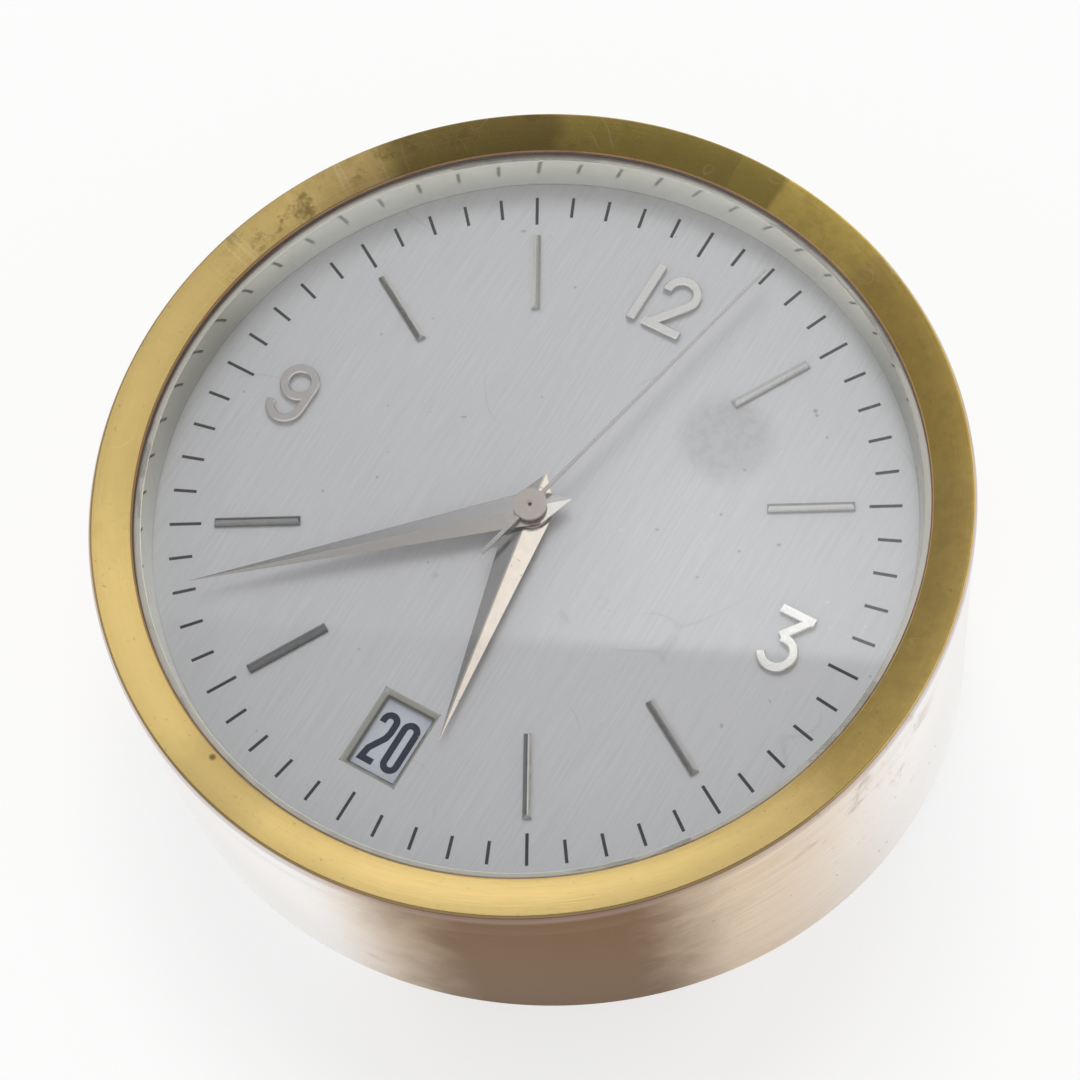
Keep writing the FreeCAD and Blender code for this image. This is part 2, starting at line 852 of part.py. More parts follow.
# Hands: two faces meet in a ridge from tail to tip, on a collet for the pipe
def faceted_hand(length, width, tail, level, bore, angle):
    """A dauphine hand: a kite outline, widest and highest just behind its arbor."""
    half = width / 2
    ring = [
        Vector(0, length, 0),
        Vector(-half, -s.hand_shoulder, 0),
        Vector(0, -tail, 0),
        Vector(half, -s.hand_shoulder, 0),
    ]
    low = [p + Vector(0, 0, level) for p in ring]
    high = [p + Vector(0, 0, level + s.hand_edge) for p in ring]
    peak = Vector(0, -s.hand_shoulder, level + s.hand_ridge)
    faces = [face_of(low)]
    for index in range(4):
        after = (index + 1) % 4
        faces.append(face_of([low[index], low[after], high[after], high[index]]))
        faces.append(face_of([high[index], high[after], peak]))
    blade = Part.Solid(Part.Shell(faces))
    if blade.Volume < 0:
        blade.reverse()
    collet = disc(bore + s.collet_wall, level - s.collet_height / 3,
                  level + s.collet_height * 2 / 3)
    hand = united([blade, collet]).cut(disc(bore, level - 5, level + 5))
    hand.rotate(Vector(), Vector(0, 0, 1), -angle)
    return hand


plain("hour_hand", faceted_hand(
    s.hour_hand_length, s.hour_hand_width, s.hour_hand_tail,
    s.hour_hand_level, s.hour_pipe_radius, s.hour_hand_angle))
plain("minute_hand", faceted_hand(
    s.minute_hand_length, s.minute_hand_width, s.minute_hand_tail,
    s.minute_hand_level, s.cannon_radius, s.minute_hand_angle))

second_top = s.second_hand_level + s.second_hub_height
needle = prism([
    Vector(-s.second_hand_tip / 2, s.second_hand_length, 0),
    Vector(-s.second_hand_width / 2, -s.second_hand_tail, 0),
    Vector(s.second_hand_width / 2, -s.second_hand_tail, 0),
    Vector(s.second_hand_tip / 2, s.second_hand_length, 0),
], s.second_hand_level, s.second_hand_level + s.second_hub_height / 2)
second_hub = disc(s.second_hub_radius, s.second_hand_level, second_top)
second_sleeve = disc(s.cannon_radius, s.second_hand_level - s.sleeve_drop, second_top)
second_hand = united([needle, second_hub, second_sleeve])
second_hand = second_hand.cut(disc(s.seconds_arbor_radius, 0, second_top + 1))
second_hand.rotate(Vector(), Vector(0, 0, 1), -s.second_hand_angle)
plain("second_hand", second_hand)

# Date ring: thirty-one inward teeth under the printed numbers
ring_step = 360.0 / s.date_teeth
JUMPER_NOSE_ANGLE = s.jumper_direction - s.jumper_lead
ring_phase = JUMPER_NOSE_ANGLE + ring_step / 2
TOOTH_TIP_SHARE = 0.1
TOOTH_ROOT_SHARE = 0.26
inner = []
for index in range(int(s.date_teeth)):
    middle = ring_phase + index * ring_step
    inner.append(polar(s.date_root_radius, middle - TOOTH_ROOT_SHARE * ring_step))
    inner.append(polar(s.date_tip_radius, middle - TOOTH_TIP_SHARE * ring_step))
    inner.append(polar(s.date_tip_radius, middle + TOOTH_TIP_SHARE * ring_step))
    inner.append(polar(s.date_root_radius, middle + TOOTH_ROOT_SHARE * ring_step))
date_ring = disc(s.date_ring_radius, s.ring_bottom, s.ring_top)
plain("date_ring", date_ring.cut(prism(inner, s.ring_bottom - 1, s.ring_top + 1)))

# Calendar plate: a ring with a rim that guides the date ring, on three posts
POST_DIRECTIONS = (60.0, 180.0, 300.0)
calendar = turned("calendar_plate", [
    (e.calendar_bore, e.calendar_bottom),
    (e.calendar_radius, e.calendar_bottom),
    (e.calendar_radius, e.dial_back),
    (e.date_ring_radius + e.date_ring_gap, e.dial_back),
    (e.date_ring_radius + e.date_ring_gap, e.calendar_top),
    (e.calendar_bore, e.calendar_top),
])


def at(radius, degrees):
    """Sketch coordinates of a point on a circle whose radius is a Size."""
    angle = math.radians(degrees)
    return radius * math.cos(angle), radius * math.sin(angle)


pad(calendar, "calendar_posts", e.front_top, e.calendar_bottom - e.front_top,
    circles=[at(e.calendar_post_circle, a) + (e.calendar_post_radius,)
             for a in POST_DIRECTIONS])
keep(calendar, "calendar_plate")

# Straps that hang the calendar plate on the seat ring, and their screws
STRAP_DIRECTIONS = (0.0, 120.0, 240.0)
strap_top = s.calendar_bottom
strap_low = strap_top - s.strap_thickness
inner_hole = (s.strap_inner + s.calendar_radius) / 2
outer_hole = (s.strap_outer + s.case_bore - s.seat_width) / 2
straps = []
strap_screws = []
for direction in STRAP_DIRECTIONS:
    strap = bar(polar(s.strap_inner, direction), polar(s.strap_outer, direction),
                s.strap_width, strap_low, strap_top)
    for radius in (inner_hole, outer_hole):
        spot = polar(radius, direction)
        strap = strap.cut(disc(s.strap_screw_radius, strap_low - 1, strap_top + 1, spot))
        shank = disc(s.strap_screw_radius - s.fit_gap, strap_low, strap_top, spot)
        head = disc(s.strap_screw_head, strap_low - s.strap_screw_radius, strap_low, spot)
        strap_screws.append(united([shank, head]))
    straps.append(strap)
plain("movement_straps", Part.Compound(straps))
plain("strap_screws", Part.Compound(strap_screws))

# Where the arbors stand in the movement
THIRD = polar(s.train_distance, s.third_direction)
INDEX = polar(s.train_distance, s.index_direction)
BALANCE = polar(s.balance_distance, s.balance_direction)
MINUTE_WHEEL = polar(s.motion_distance, s.minute_wheel_direction)
DATE_WHEEL = polar(s.date_distance, s.date_wheel_direction)
STEM = MINUTE_WHEEL + polar(s.motion_distance, s.setting_direction)
JUMPER = polar(s.jumper_circle, s.jumper_direction)
PILLAR_DIRECTIONS = (15.0, 100.0, 175.0, 250.0)

third_at = at(e.train_distance, s.third_direction)
index_at = at(e.train_distance, s.index_direction)
balance_at = at(e.balance_distance, s.balance_direction)
minute_at = at(e.motion_distance, s.minute_wheel_direction)
date_at = at(e.date_distance, s.date_wheel_direction)
stem_step = at(e.motion_distance, s.setting_direction)
stem_at = (minute_at[0] + stem_step[0], minute_at[1] + stem_step[1])
jumper_at = at(e.jumper_circle, s.jumper_direction)
arbor_hole = e.arbor_radius + e.running_gap

# Front plate with its studs for the minute wheel, date wheel and jumper
front = new_body("movement_front_plate")
pillar_spots = [at(e.pillar_circle, a) for a in PILLAR_DIRECTIONS]
pad(front, "front_disc", e.front_bottom, e.plate_thickness,
    circles=[
        (0, 0, e.front_plate_radius),
        (0, 0, e.cannon_radius + e.running_gap),
        third_at + (arbor_hole,),
        index_at + (arbor_hole,),
        balance_at + (arbor_hole,),
        stem_at + (e.stem_radius + e.running_gap,),
    ])
pad(front, "minute_stud", e.front_top, e.motion_space * 0.55,
    circles=[minute_at + (e.stud_radius,)])
pad(front, "date_stud", e.front_top, e.motion_space * 0.85,
    circles=[date_at + (e.stud_radius,)])
pad(front, "jumper_stud", e.front_top, e.ring_bottom - e.front_top,
    circles=[jumper_at + (e.jumper_eye,)])
pad(front, "jumper_pin", e.ring_bottom, e.date_ring_thickness + e.date_ring_gap,
    circles=[jumper_at + (e.stud_radius,)])
pad(front, "regulator_boss_ring", e.front_bottom - e.regulator_thickness - e.boss_overrun,
    e.regulator_thickness + e.boss_overrun,
    circles=[balance_at + (e.regulator_boss,), balance_at + (arbor_hole,)])
keep(front, "movement_front_plate")

# Back plate
back = new_body("movement_back_plate")
pad(back, "back_disc", e.back_bottom, e.plate_thickness,
    circles=[
        (0, 0, e.back_plate_radius),
        (0, 0, e.seconds_arbor_radius + e.running_gap),
        third_at + (arbor_hole,),
        index_at + (arbor_hole,),
        balance_at + (arbor_hole,),
        stem_at + (e.stem_radius + e.running_gap,),
    ] + [spot + (e.pillar_screw_radius + e.fit_gap,) for spot in pillar_spots])
pocket(back, "screw_seats", e.back_bottom + e.plate_thickness * 0.5, e.plate_thickness,
       circles=[spot + (e.pillar_screw_head + e.fit_gap,) for spot in pillar_spots])
keep(back, "movement_back_plate")

# Pillars between the plates, each with a blind hole for its screw
pillar_list = []
screw_list = []
screw_deep = s.plate_spacing * 0.5
for direction in PILLAR_DIRECTIONS:
    spot = polar(s.pillar_circle, direction)
    post = disc(s.pillar_radius, s.back_top, s.front_bottom, spot)
    hole = disc(s.pillar_screw_radius + s.fit_gap, s.back_top - 1, s.back_top + screw_deep, spot)
    pillar_list.append(post.cut(hole))
    shank = disc(s.pillar_screw_radius, s.back_bottom + 0.1, s.back_top + screw_deep - 0.3, spot)
    head = disc(s.pillar_screw_head, s.back_bottom + 0.1,
                s.back_bottom + s.plate_thickness * 0.5 - 0.05, spot)
    screw_list.append(united([shank, head]))
plain("plate_pillars", Part.Compound(pillar_list))
plain("pillar_screws", Part.Compound(screw_list))

# Going train: seconds arbor, third wheel, centre wheel and index wheel
seconds_module = module_of(s.train_distance, s.seconds_pinion_teeth, s.third_wheel_teeth)
centre_module = module_of(s.train_distance, s.third_pinion_teeth, s.centre_wheel_teeth)
index_module = module_of(s.train_distance, s.seconds_wheel_teeth, s.index_pinion_teeth)
arbor_foot = s.back_bottom + s.pivot_inset
arbor_head = s.front_top - s.pivot_inset
seconds_wheel_low = s.back_top + s.back_wheel_space
seconds_wheel_high = seconds_wheel_low + s.wheel_thickness
third_wheel_low = seconds_wheel_high + s.third_wheel_space
third_wheel_high = third_wheel_low + s.wheel_thickness
seconds_pinion_high = third_wheel_high + s.leaf_overrun
centre_wheel_low = seconds_pinion_high + s.centre_wheel_space
centre_wheel_high = centre_wheel_low + s.wheel_thickness
cannon_low = centre_wheel_low - s.mesh_overrun

seconds_phase = 0.0
seconds_arbor = united([
    disc(s.seconds_arbor_radius, arbor_foot, second_top - s.pivot_inset),
    gear(s.seconds_wheel_teeth, index_module, seconds_phase,
         seconds_wheel_low, seconds_wheel_high),
    gear(s.seconds_pinion_teeth, seconds_module, seconds_phase,
         seconds_wheel_high, seconds_pinion_high),
])
plain("seconds_arbor", seconds_arbor)

third_phase = mesh_phase(
    s.seconds_pinion_teeth, seconds_phase, s.third_direction, s.third_wheel_teeth)
third_arbor = disc(s.arbor_radius, arbor_foot, arbor_head, THIRD)
third_wheel = united([
    third_arbor,
    gear(s.third_wheel_teeth, seconds_module, third_phase,
         third_wheel_low, third_wheel_high, THIRD),
    gear(s.third_pinion_teeth, centre_module, s.third_direction,
         third_wheel_high, centre_wheel_high + s.mesh_overrun, THIRD),
])
plain("third_wheel", third_wheel)

centre_phase = mesh_phase(
    s.third_pinion_teeth, s.third_direction, s.third_direction + 180.0, s.centre_wheel_teeth)
centre_wheel = gear(s.centre_wheel_teeth, centre_module, centre_phase,
                    centre_wheel_low, centre_wheel_high)
centre_wheel = centre_wheel.cut(disc(s.hour_bore, -20, 0))
for direction in (30.0, 120.0, 210.0, 300.0):
    centre_wheel = centre_wheel.cut(
        disc(centre_module * s.centre_wheel_teeth / 9, -20, 0,
             polar(centre_module * s.centre_wheel_teeth / 3.6, direction)))
plain("centre_wheel", centre_wheel)

index_phase = mesh_phase(
    s.seconds_wheel_teeth, seconds_phase, s.index_direction, s.index_pinion_teeth)
index_wheel_low = third_wheel_high + s.mesh_overrun
index_wheel_high = index_wheel_low + s.thin_wheel
index_wheel = united([
    disc(s.arbor_radius, arbor_foot, arbor_head, INDEX),
    gear(s.index_pinion_teeth, index_module, index_phase,
         seconds_wheel_low - s.mesh_overrun, seconds_wheel_high + s.mesh_overrun, INDEX),
    gear(s.index_wheel_teeth, 2 * s.index_wheel_radius / (s.index_wheel_teeth + 2), 0.0,
         index_wheel_low, index_wheel_high, INDEX),
])
plain("index_wheel", index_wheel)

# Balance: rim and spokes on a staff, with two magnets that pass the index wheel and coil
magnet_high = index_wheel_low - s.magnet_air_gap
magnet_low = magnet_high - s.magnet_height
balance_low = magnet_low - s.balance_thickness
spring_low = s.front_bottom - s.regulator_thickness - s.spring_drop - s.hairspring_height
spring_high = spring_low + s.hairspring_height
TOWARDS_INDEX = math.degrees(math.atan2(INDEX.y - BALANCE.y, INDEX.x - BALANCE.x))
spoke_reach = s.balance_radius - s.balance_rim / 2
spoke = bar(BALANCE + polar(spoke_reach, TOWARDS_INDEX),
            BALANCE + polar(spoke_reach, TOWARDS_INDEX + 180),
            2 * (s.magnet_radius + s.spoke_margin), balance_low, magnet_low)
balance = united([
    tube(s.balance_radius, s.balance_radius - s.balance_rim, balance_low, magnet_low, BALANCE),
    spoke,
    disc(s.arbor_radius, arbor_foot, arbor_head, BALANCE),
    disc(s.collar_radius, spring_low - s.collar_overrun, spring_high + s.collar_overrun, BALANCE),
])
plain("balance_wheel", balance)
magnets = [
    disc(s.magnet_radius, magnet_low, magnet_high,
         BALANCE + polar(s.magnet_circle, TOWARDS_INDEX + turn))
    for turn in (0, 180)
]
plain("balance_magnets", Part.Compound(magnets))


def flat_spiral(centre, start_radius, end_radius, half_turns, width, low, high):
    """A strip wound in half circles, whose centres step from side to side."""
    grow = (end_radius - start_radius) / half_turns
    radius = start_radius
    middle = centre
    side = 1.0
    pieces = []
    for index in range(half_turns):
        pieces.append(arc_band(middle, radius, width, 0 if side > 0 else 180, 180, low, high))
        middle = middle + Vector(side * grow, 0, 0)
        side = -side
        radius = radius + grow
    return united(pieces)


hairspring = flat_spiral(
    BALANCE, s.collar_radius + s.hairspring_strip, s.hairspring_reach,
    2 * int(s.hairspring_turns), s.hairspring_strip, spring_low, spring_high)
plain("hairspring", hairspring)

# Drive coil on its core, hung from the front plate
coil_low = magnet_high + s.magnet_air_gap
coil_high = coil_low + s.coil_height
COIL = BALANCE + polar(s.magnet_circle, TOWARDS_INDEX + 180)
plain("coil_core", united([
    disc(s.coil_bore - s.fit_gap, coil_low, s.front_bottom, COIL),
    disc(s.coil_radius, coil_high + s.fit_gap, coil_high + s.coil_flange, COIL),
]))
plain("drive_coil", tube(s.coil_radius, s.coil_bore, coil_low, coil_high, COIL))

# Regulator: a lever that turns on the boss round the balance staff
regulator_high = s.front_bottom - 2 * s.running_gap
regulator_low = regulator_high - s.regulator_thickness
REGULATOR_DIRECTION = 20.0
regulator = united([
    disc(s.regulator_ring, regulator_low, regulator_high, BALANCE),
    bar(BALANCE, BALANCE + polar(s.regulator_reach, REGULATOR_DIRECTION),
        s.regulator_arm, regulator_low, regulator_high),
]).cut(disc(s.regulator_boss + s.running_gap, -20, 0, BALANCE))
plain("regulator_lever", regulator)

# Motion work in front of the front plate: cannon pinion, minute wheel and hour wheel
cannon_module = module_of(s.motion_distance, s.cannon_teeth, s.minute_wheel_teeth)
hour_module = module_of(s.motion_distance, s.minute_pinion_teeth, s.hour_wheel_teeth)
date_module = module_of(s.date_distance, s.date_pinion_teeth, s.date_wheel_teeth)
minute_low = s.front_top + s.motion_clearance
minute_high = minute_low + s.thin_wheel
hour_low = minute_high + s.motion_wheel_space
hour_high = hour_low + s.thin_wheel
date_low = hour_high + s.date_wheel_space
date_high = date_low + s.thin_wheel

minute_top = s.minute_hand_level + s.collet_height * 2 / 3
cannon = united([
    disc(s.cannon_radius, cannon_low, minute_top),
    gear(s.cannon_teeth, cannon_module, s.minute_wheel_direction,
         minute_low - s.pinion_overrun, minute_high + s.pinion_overrun),
]).cut(disc(s.cannon_bore, cannon_low - 1, minute_top + 1))
plain("cannon_pinion", cannon)

# Friction washer between the centre wheel and the cannon pinion's pipe
washer_low = centre_wheel_high + s.washer_gap
plain("clutch_washer", tube(s.cannon_radius + s.washer_reach, s.cannon_radius, washer_low,
                            washer_low + s.thin_wheel / 2))

minute_phase = mesh_phase(
    s.cannon_teeth, s.minute_wheel_direction, s.minute_wheel_direction, s.minute_wheel_teeth)
minute_wheel = united([
    gear(s.minute_wheel_teeth, cannon_module, minute_phase,
         minute_low, minute_high, MINUTE_WHEEL),
    gear(s.minute_pinion_teeth, hour_module, s.minute_wheel_direction,
         minute_high, hour_high + s.pinion_overrun, MINUTE_WHEEL),
]).cut(disc(s.stud_radius + s.running_gap, -20, 0, MINUTE_WHEEL))
plain("minute_wheel", minute_wheel)

hour_phase = mesh_phase(
    s.minute_pinion_teeth, s.minute_wheel_direction,
    s.minute_wheel_direction + 180.0, s.hour_wheel_teeth)
hour_top = s.hour_hand_level + s.collet_height * 2 / 3
hour_wheel = united([
    gear(s.hour_wheel_teeth, hour_module, hour_phase, hour_low, hour_high),
    gear(s.date_pinion_teeth, date_module, s.date_wheel_direction,
         hour_high, date_high + s.pinion_overrun),
    disc(s.hour_pipe_radius, hour_low, hour_top),
]).cut(disc(s.hour_bore, hour_low - 1, hour_top + 1))
plain("hour_wheel", hour_wheel)

date_phase = mesh_phase(
    s.date_pinion_teeth, s.date_wheel_direction, s.date_wheel_direction, s.date_wheel_teeth)
FINGER_HUB = 2 * s.stud_radius
date_wheel = united([
    gear(s.date_wheel_teeth, date_module, date_phase, date_low, date_high, DATE_WHEEL),
    disc(FINGER_HUB, date_high, s.ring_bottom, DATE_WHEEL),
]).cut(disc(s.stud_radius + s.running_gap, -20, 0, DATE_WHEEL))
plain("date_wheel", date_wheel)

# Spring finger that pushes the date ring on by one tooth a day
finger_end = DATE_WHEEL + polar(s.finger_length - s.finger_width / 2, s.finger_direction)
finger = united([
    disc(FINGER_HUB, s.ring_bottom, s.ring_top, DATE_WHEEL),
    bar(DATE_WHEEL, finger_end, s.finger_width, s.ring_bottom, s.ring_top),
    disc(s.finger_width / 2, s.ring_bottom, s.ring_top, finger_end),
]).cut(disc(s.stud_radius + s.running_gap, -20, 0, DATE_WHEEL))
plain("date_finger", finger)

# Date jumper: a spring strip whose nose drops between two teeth of the ring
NOSE_SHARE = 0.6
nose_radius = s.date_tip_radius + s.jumper_nose * NOSE_SHARE
nose = polar(nose_radius, JUMPER_NOSE_ANGLE)
shoulder = polar(s.date_tip_radius - s.jumper_drop, JUMPER_NOSE_ANGLE)
jumper = united([
    disc(s.jumper_eye, s.ring_bottom, s.ring_top, JUMPER),
    bar(JUMPER, shoulder, s.jumper_strip, s.ring_bottom, s.ring_top),
    bar(shoulder, nose, s.jumper_strip * 1.6, s.ring_bottom, s.ring_top),
    disc(s.jumper_strip * 0.8, s.ring_bottom, s.ring_top, shoulder),
    disc(s.jumper_nose, s.ring_bottom, s.ring_top, nose),
]).cut(disc(s.stud_radius + s.fit_gap, -20, 0, JUMPER))
plain("date_jumper", jumper)

# Setting stem and knob: the knob stands in a hole of the base cover
stem_phase = mesh_phase(
    s.minute_wheel_teeth, minute_phase, s.setting_direction, s.setting_pinion_teeth)
knob_low = -(s.base_depth + (STEM.y - s.knob_radius) * math.tan(TILT)) + s.knob_clearance
knob_high = knob_low + s.knob_height
stem = united([
    disc(s.stem_radius, knob_low + s.knob_floor, minute_high + s.stem_overrun, STEM),
    gear(s.setting_pinion_teeth, cannon_module, stem_phase,
         minute_low - s.pinion_overrun, minute_high + s.pinion_overrun, STEM),
])
plain("setting_stem", stem)
knob = disc(s.knob_radius, knob_low, knob_high, STEM)
knob = knob.cut(disc(s.stem_radius, knob_low + s.knob_floor, knob_high + 1, STEM))
flutes = [
    disc(s.knob_flute_radius, knob_low - 1, knob_high + 1,
         STEM + polar(s.knob_radius, index * 360.0 / s.knob_flutes))
    for index in range(int(s.knob_flutes))
]
plain("setting_knob", knob.cut(Part.Compound(flutes)))

# Base cover: fills the oblique foot of the drum, with holes for the knob and the hatch
cover_low = e.felt_thickness
cover_high = e.felt_thickness + e.cover_thickness
WIDE = 4 * FAR


def slab(name, low, height):
    """A wide flat block at a level of the clock frame."""
    level = as_size(low).number
    return block(name, WIDE, WIDE, height, Vector(-WIDE / 2, -WIDE / 2, level))


hatch_length = e.battery_length + e.battery_nub + 2 * e.contact_room + 2 * e.tray_wall
hatch_width = 2 * e.battery_radius + 2 * e.tray_room
BATTERY = Vector(0, s.battery_setback,
                 cover_high.number + s.battery_rest + s.battery_radius)
hatch_low = Vector(-hatch_length.number / 2, BATTERY.y - hatch_width.number / 2,
                   cover_low.number)
LUG_DIRECTIONS = (-90.0, 28.0, 152.0)
screw_spots = []
for direction in LUG_DIRECTIONS:
    foot = polar(s.lug_circle, direction)
    foot.z = -(s.base_depth + foot.y * math.tan(TILT))
    screw_spots.append(DIAL_PLACE.multVec(foot))

cover_disc = cylinder("cover_disc", e.case_bore - e.cover_gap, 2 * FAR,
                      Vector(0, 0, -2 * FAR), DIAL_PLACE)
cover = common("cover_plate", cover_disc, slab("cover_slab", cover_low, e.cover_thickness))
knob_hole = cylinder("knob_hole", e.knob_radius + e.knob_room, FAR,
                     Vector(STEM.x, STEM.y, knob_high - FAR + 5), DIAL_PLACE)
hatch_hole = block("hatch_hole", hatch_length, hatch_width, 3 * e.cover_thickness,
                   hatch_low - Vector(0, 0, s.cover_thickness))
pin_centre = Vector(0, hatch_low.y + s.cover_thickness / 2 + s.hatch_gap,
                    cover_low.number + s.cover_thickness / 2)
pin_length = hatch_length + 2 * e.hatch_overlap
pin_hole = rod_along_x("pin_hole", e.hatch_pin_radius + e.fit_gap, pin_length, pin_centre)
screw_holes = [
    cylinder("screw_hole_%d" % index, e.base_screw_radius + e.fit_gap, FAR,
             Vector(spot.x, spot.y, -FAR / 2))
    for index, spot in enumerate(screw_spots)
]
head_holes = [
    cylinder("head_hole_%d" % index, e.base_screw_head + e.fit_gap,
             e.cover_thickness * 0.5 + FAR,
             Vector(spot.x, spot.y, cover_low.number - FAR))
    for index, spot in enumerate(screw_spots)
]
cover_tools = joined("cover_cuts", [knob_hole, hatch_hole, pin_hole] + screw_holes + head_holes)
keep(cut("base_cover_cut", cover, cover_tools), "base_cover", placed=False)

# Felt ring glued under the cover, cut away round the hatch and the screws
felt_disc = cylinder("felt_disc", e.felt_outer, 2 * FAR, Vector(0, 0, -2 * FAR), DIAL_PLACE)
felt_hole = cylinder("felt_hole", e.felt_inner, 2 * FAR, Vector(0, 0, -2 * FAR), DIAL_PLACE)
felt_band = cut("felt_band", felt_disc, felt_hole)
felt = common("felt_flat", felt_band, slab("felt_slab", 0, e.felt_thickness))
felt_notch = block("felt_notch", hatch_length + 2 * e.felt_room, hatch_width + 2 * e.felt_room,
                   e.felt_thickness * 4,
                   hatch_low - Vector(s.felt_room, s.felt_room, 2 * s.felt_thickness))
felt_screws = [
    cylinder("felt_screw_%d" % index, e.base_screw_head + e.felt_room * 0.4, FAR,
             Vector(spot.x, spot.y, -FAR / 2))
    for index, spot in enumerate(screw_spots)
]
felt_tools = joined("felt_cuts", [felt_notch] + felt_screws)
keep(cut("felt_ring_cut", felt, felt_tools), "felt_ring", placed=False)

# Lugs soldered inside the drum, and the base screws that go into them
lugs = []
base_screws = []
for spot, direction in zip(screw_spots, LUG_DIRECTIONS):
    centre = polar(s.lug_circle, direction)
    lug = disc(s.lug_radius, -FAR, 0, centre)
    lug.Placement = DIAL_PLACE
    band = Part.makeBox(WIDE, WIDE, s.lug_height,
                        Vector(-WIDE / 2, -WIDE / 2, cover_high.number))
    lug = lug.common(band)
    hole_top = cover_low.number + s.base_screw_length + s.screw_room
    lug = lug.cut(disc(s.base_screw_radius + s.fit_gap, 0, hole_top, Vector(spot.x, spot.y, 0)))
    lugs.append(lug)
    flat = Vector(spot.x, spot.y, 0)
    low = cover_low.number + s.pivot_inset
    base_screws.append(united([
        disc(s.base_screw_radius, low, cover_low.number + s.base_screw_length, flat),
        disc(s.base_screw_head, low, cover_low.number + s.cover_thickness * 0.5 - 0.02, flat),
    ]))
lug_group = doc.addObject("Part::Feature", "base_lugs")
lug_group.Shape = Part.Compound(lugs)
keep(joined("case_with_lugs", [drum, lug_group]), "case_drum", placed=False)
plain("base_screws", Part.Compound(base_screws), placed=False)

# Hatch: a flat door that swings down on its pin
door = block(
    "hatch_door", hatch_length - 2 * e.hatch_gap,
    hatch_width - 2 * e.hatch_gap - e.cover_thickness * 0.5, e.cover_thickness,
    Vector(hatch_low.x + s.hatch_gap, pin_centre.y, cover_low.number))
knuckle = rod_along_x("hatch_knuckle", e.cover_thickness * 0.5,
                      hatch_length - 2 * e.hatch_gap, pin_centre)
door_bore = rod_along_x("hatch_bore", e.hatch_pin_radius + e.running_gap,
                        hatch_length + 4, pin_centre)
door_notch = cylinder("hatch_notch", e.notch_radius, e.cover_thickness,
                      Vector(0, hatch_low.y + hatch_width.number + s.notch_radius * 0.55,
                             cover_low.number - s.cover_thickness * 0.6))
door_blank = joined("hatch_blank", [door, knuckle])
door_tools = joined("hatch_cuts", [door_bore, door_notch])
keep(cut("battery_hatch_cut", door_blank, door_tools), "battery_hatch", placed=False)
keep(rod_along_x("hatch_pin_rod", e.hatch_pin_radius, pin_length - 2 * e.pin_end_play, pin_centre),
     "hatch_pin", placed=False)

# Battery cell, tray and contacts
cell_length = e.battery_length
cell_shift = e.battery_nub * 0.5
cell = rod_along_x("battery_cell", e.battery_radius, cell_length,
                   BATTERY - Vector(cell_shift.number, 0, 0))
nub = rod_along_x("battery_tip", e.battery_nub_radius, e.battery_nub + 1,
                  BATTERY + Vector(cell_length.number / 2 - 0.5, 0, 0))
keep(joined("battery_joined", [cell, nub]), "battery", placed=False)

tray_outer = block("tray_outer", hatch_length + 2 * e.tray_wall,
                   hatch_width + 2 * e.tray_wall, e.tray_height,
                   Vector(hatch_low.x - s.tray_wall, hatch_low.y - s.tray_wall,
                          cover_high.number))
tray_inner = block("tray_inner", hatch_length, hatch_width, 3 * e.tray_height,
                   Vector(hatch_low.x, hatch_low.y, cover_high.number - s.tray_height))
keep(cut("battery_tray_cut", tray_outer, tray_inner), "battery_tray", placed=False)

contacts = []
for side in (-1, 1):
    wall = side * hatch_length.number / 2
    low_x = wall - s.contact_thickness if side > 0 else wall
    strip = Part.makeBox(s.contact_thickness, s.contact_width, s.contact_height,
                         Vector(low_x, BATTERY.y - s.contact_width / 2, cover_high.number + 1))
    reach = s.contact_room + s.tray_wall
    start = wall - side * s.contact_thickness
    pip = Part.makeCone(2.2, 0.9, reach - s.contact_thickness - 0.1,
                        Vector(start, BATTERY.y, BATTERY.z), Vector(-side, 0, 0))
    contacts.append(united([strip, pip]))
plain("battery_contacts", Part.Compound(contacts), placed=False)

# Circuit board on two spacers under the back plate, with its parts
board_low = s.board_top - s.board_thickness
BOARD = Vector(s.board_centre_x, s.board_centre_y, 0)
spacer_offset = Vector(s.board_length / 2 - s.board_margin, s.board_width / 2 - s.board_margin, 0)
SPACERS = (BOARD - spacer_offset, BOARD + spacer_offset)
half_board = Vector(s.board_length / 2, s.board_width / 2, 0)
board = Part.makeBox(s.board_length, s.board_width, s.board_thickness,
                     BOARD - half_board + Vector(0, 0, board_low))
spacers = []
for spot in SPACERS:
    board = board.cut(disc(s.board_hole_radius, board_low - 1, s.board_top + 1, spot))
    spacers.append(united([
        tube(s.board_spacer_radius, s.board_hole_radius, s.board_top, s.back_bottom, spot),
        disc(s.board_hole_radius - s.fit_gap, board_low, s.back_bottom, spot),
        disc(s.board_spacer_radius, board_low - s.board_rivet, board_low, spot),
    ]))
plain("circuit_board", board)
plain("board_spacers", Part.Compound(spacers))

CAN = BOARD + Vector(-6, 2, 0)
CAPACITOR = BOARD + Vector(-1, -4, board_low - s.capacitor_radius)
RESISTORS = (BOARD + Vector(-2, 2, 0), BOARD + Vector(-2, 5.5, 0))
can = disc(s.can_radius, board_low - s.can_height, board_low, CAN)
can_rim = disc(s.can_radius + s.can_rim, board_low - s.can_rim_height, board_low, CAN)
capacitor = Part.makeCylinder(
    s.capacitor_radius, s.capacitor_length, CAPACITOR, Vector(1, 0, 0))
resistors = [
    Part.makeCylinder(s.resistor_radius, s.resistor_length,
                      spot + Vector(0, 0, board_low - s.resistor_radius), Vector(1, 0, 0))
    for spot in RESISTORS
]
plain("board_components", Part.Compound([united([can, can_rim]), capacitor] + resistors))

# Insulated leads from the two contacts to the board
leads = []


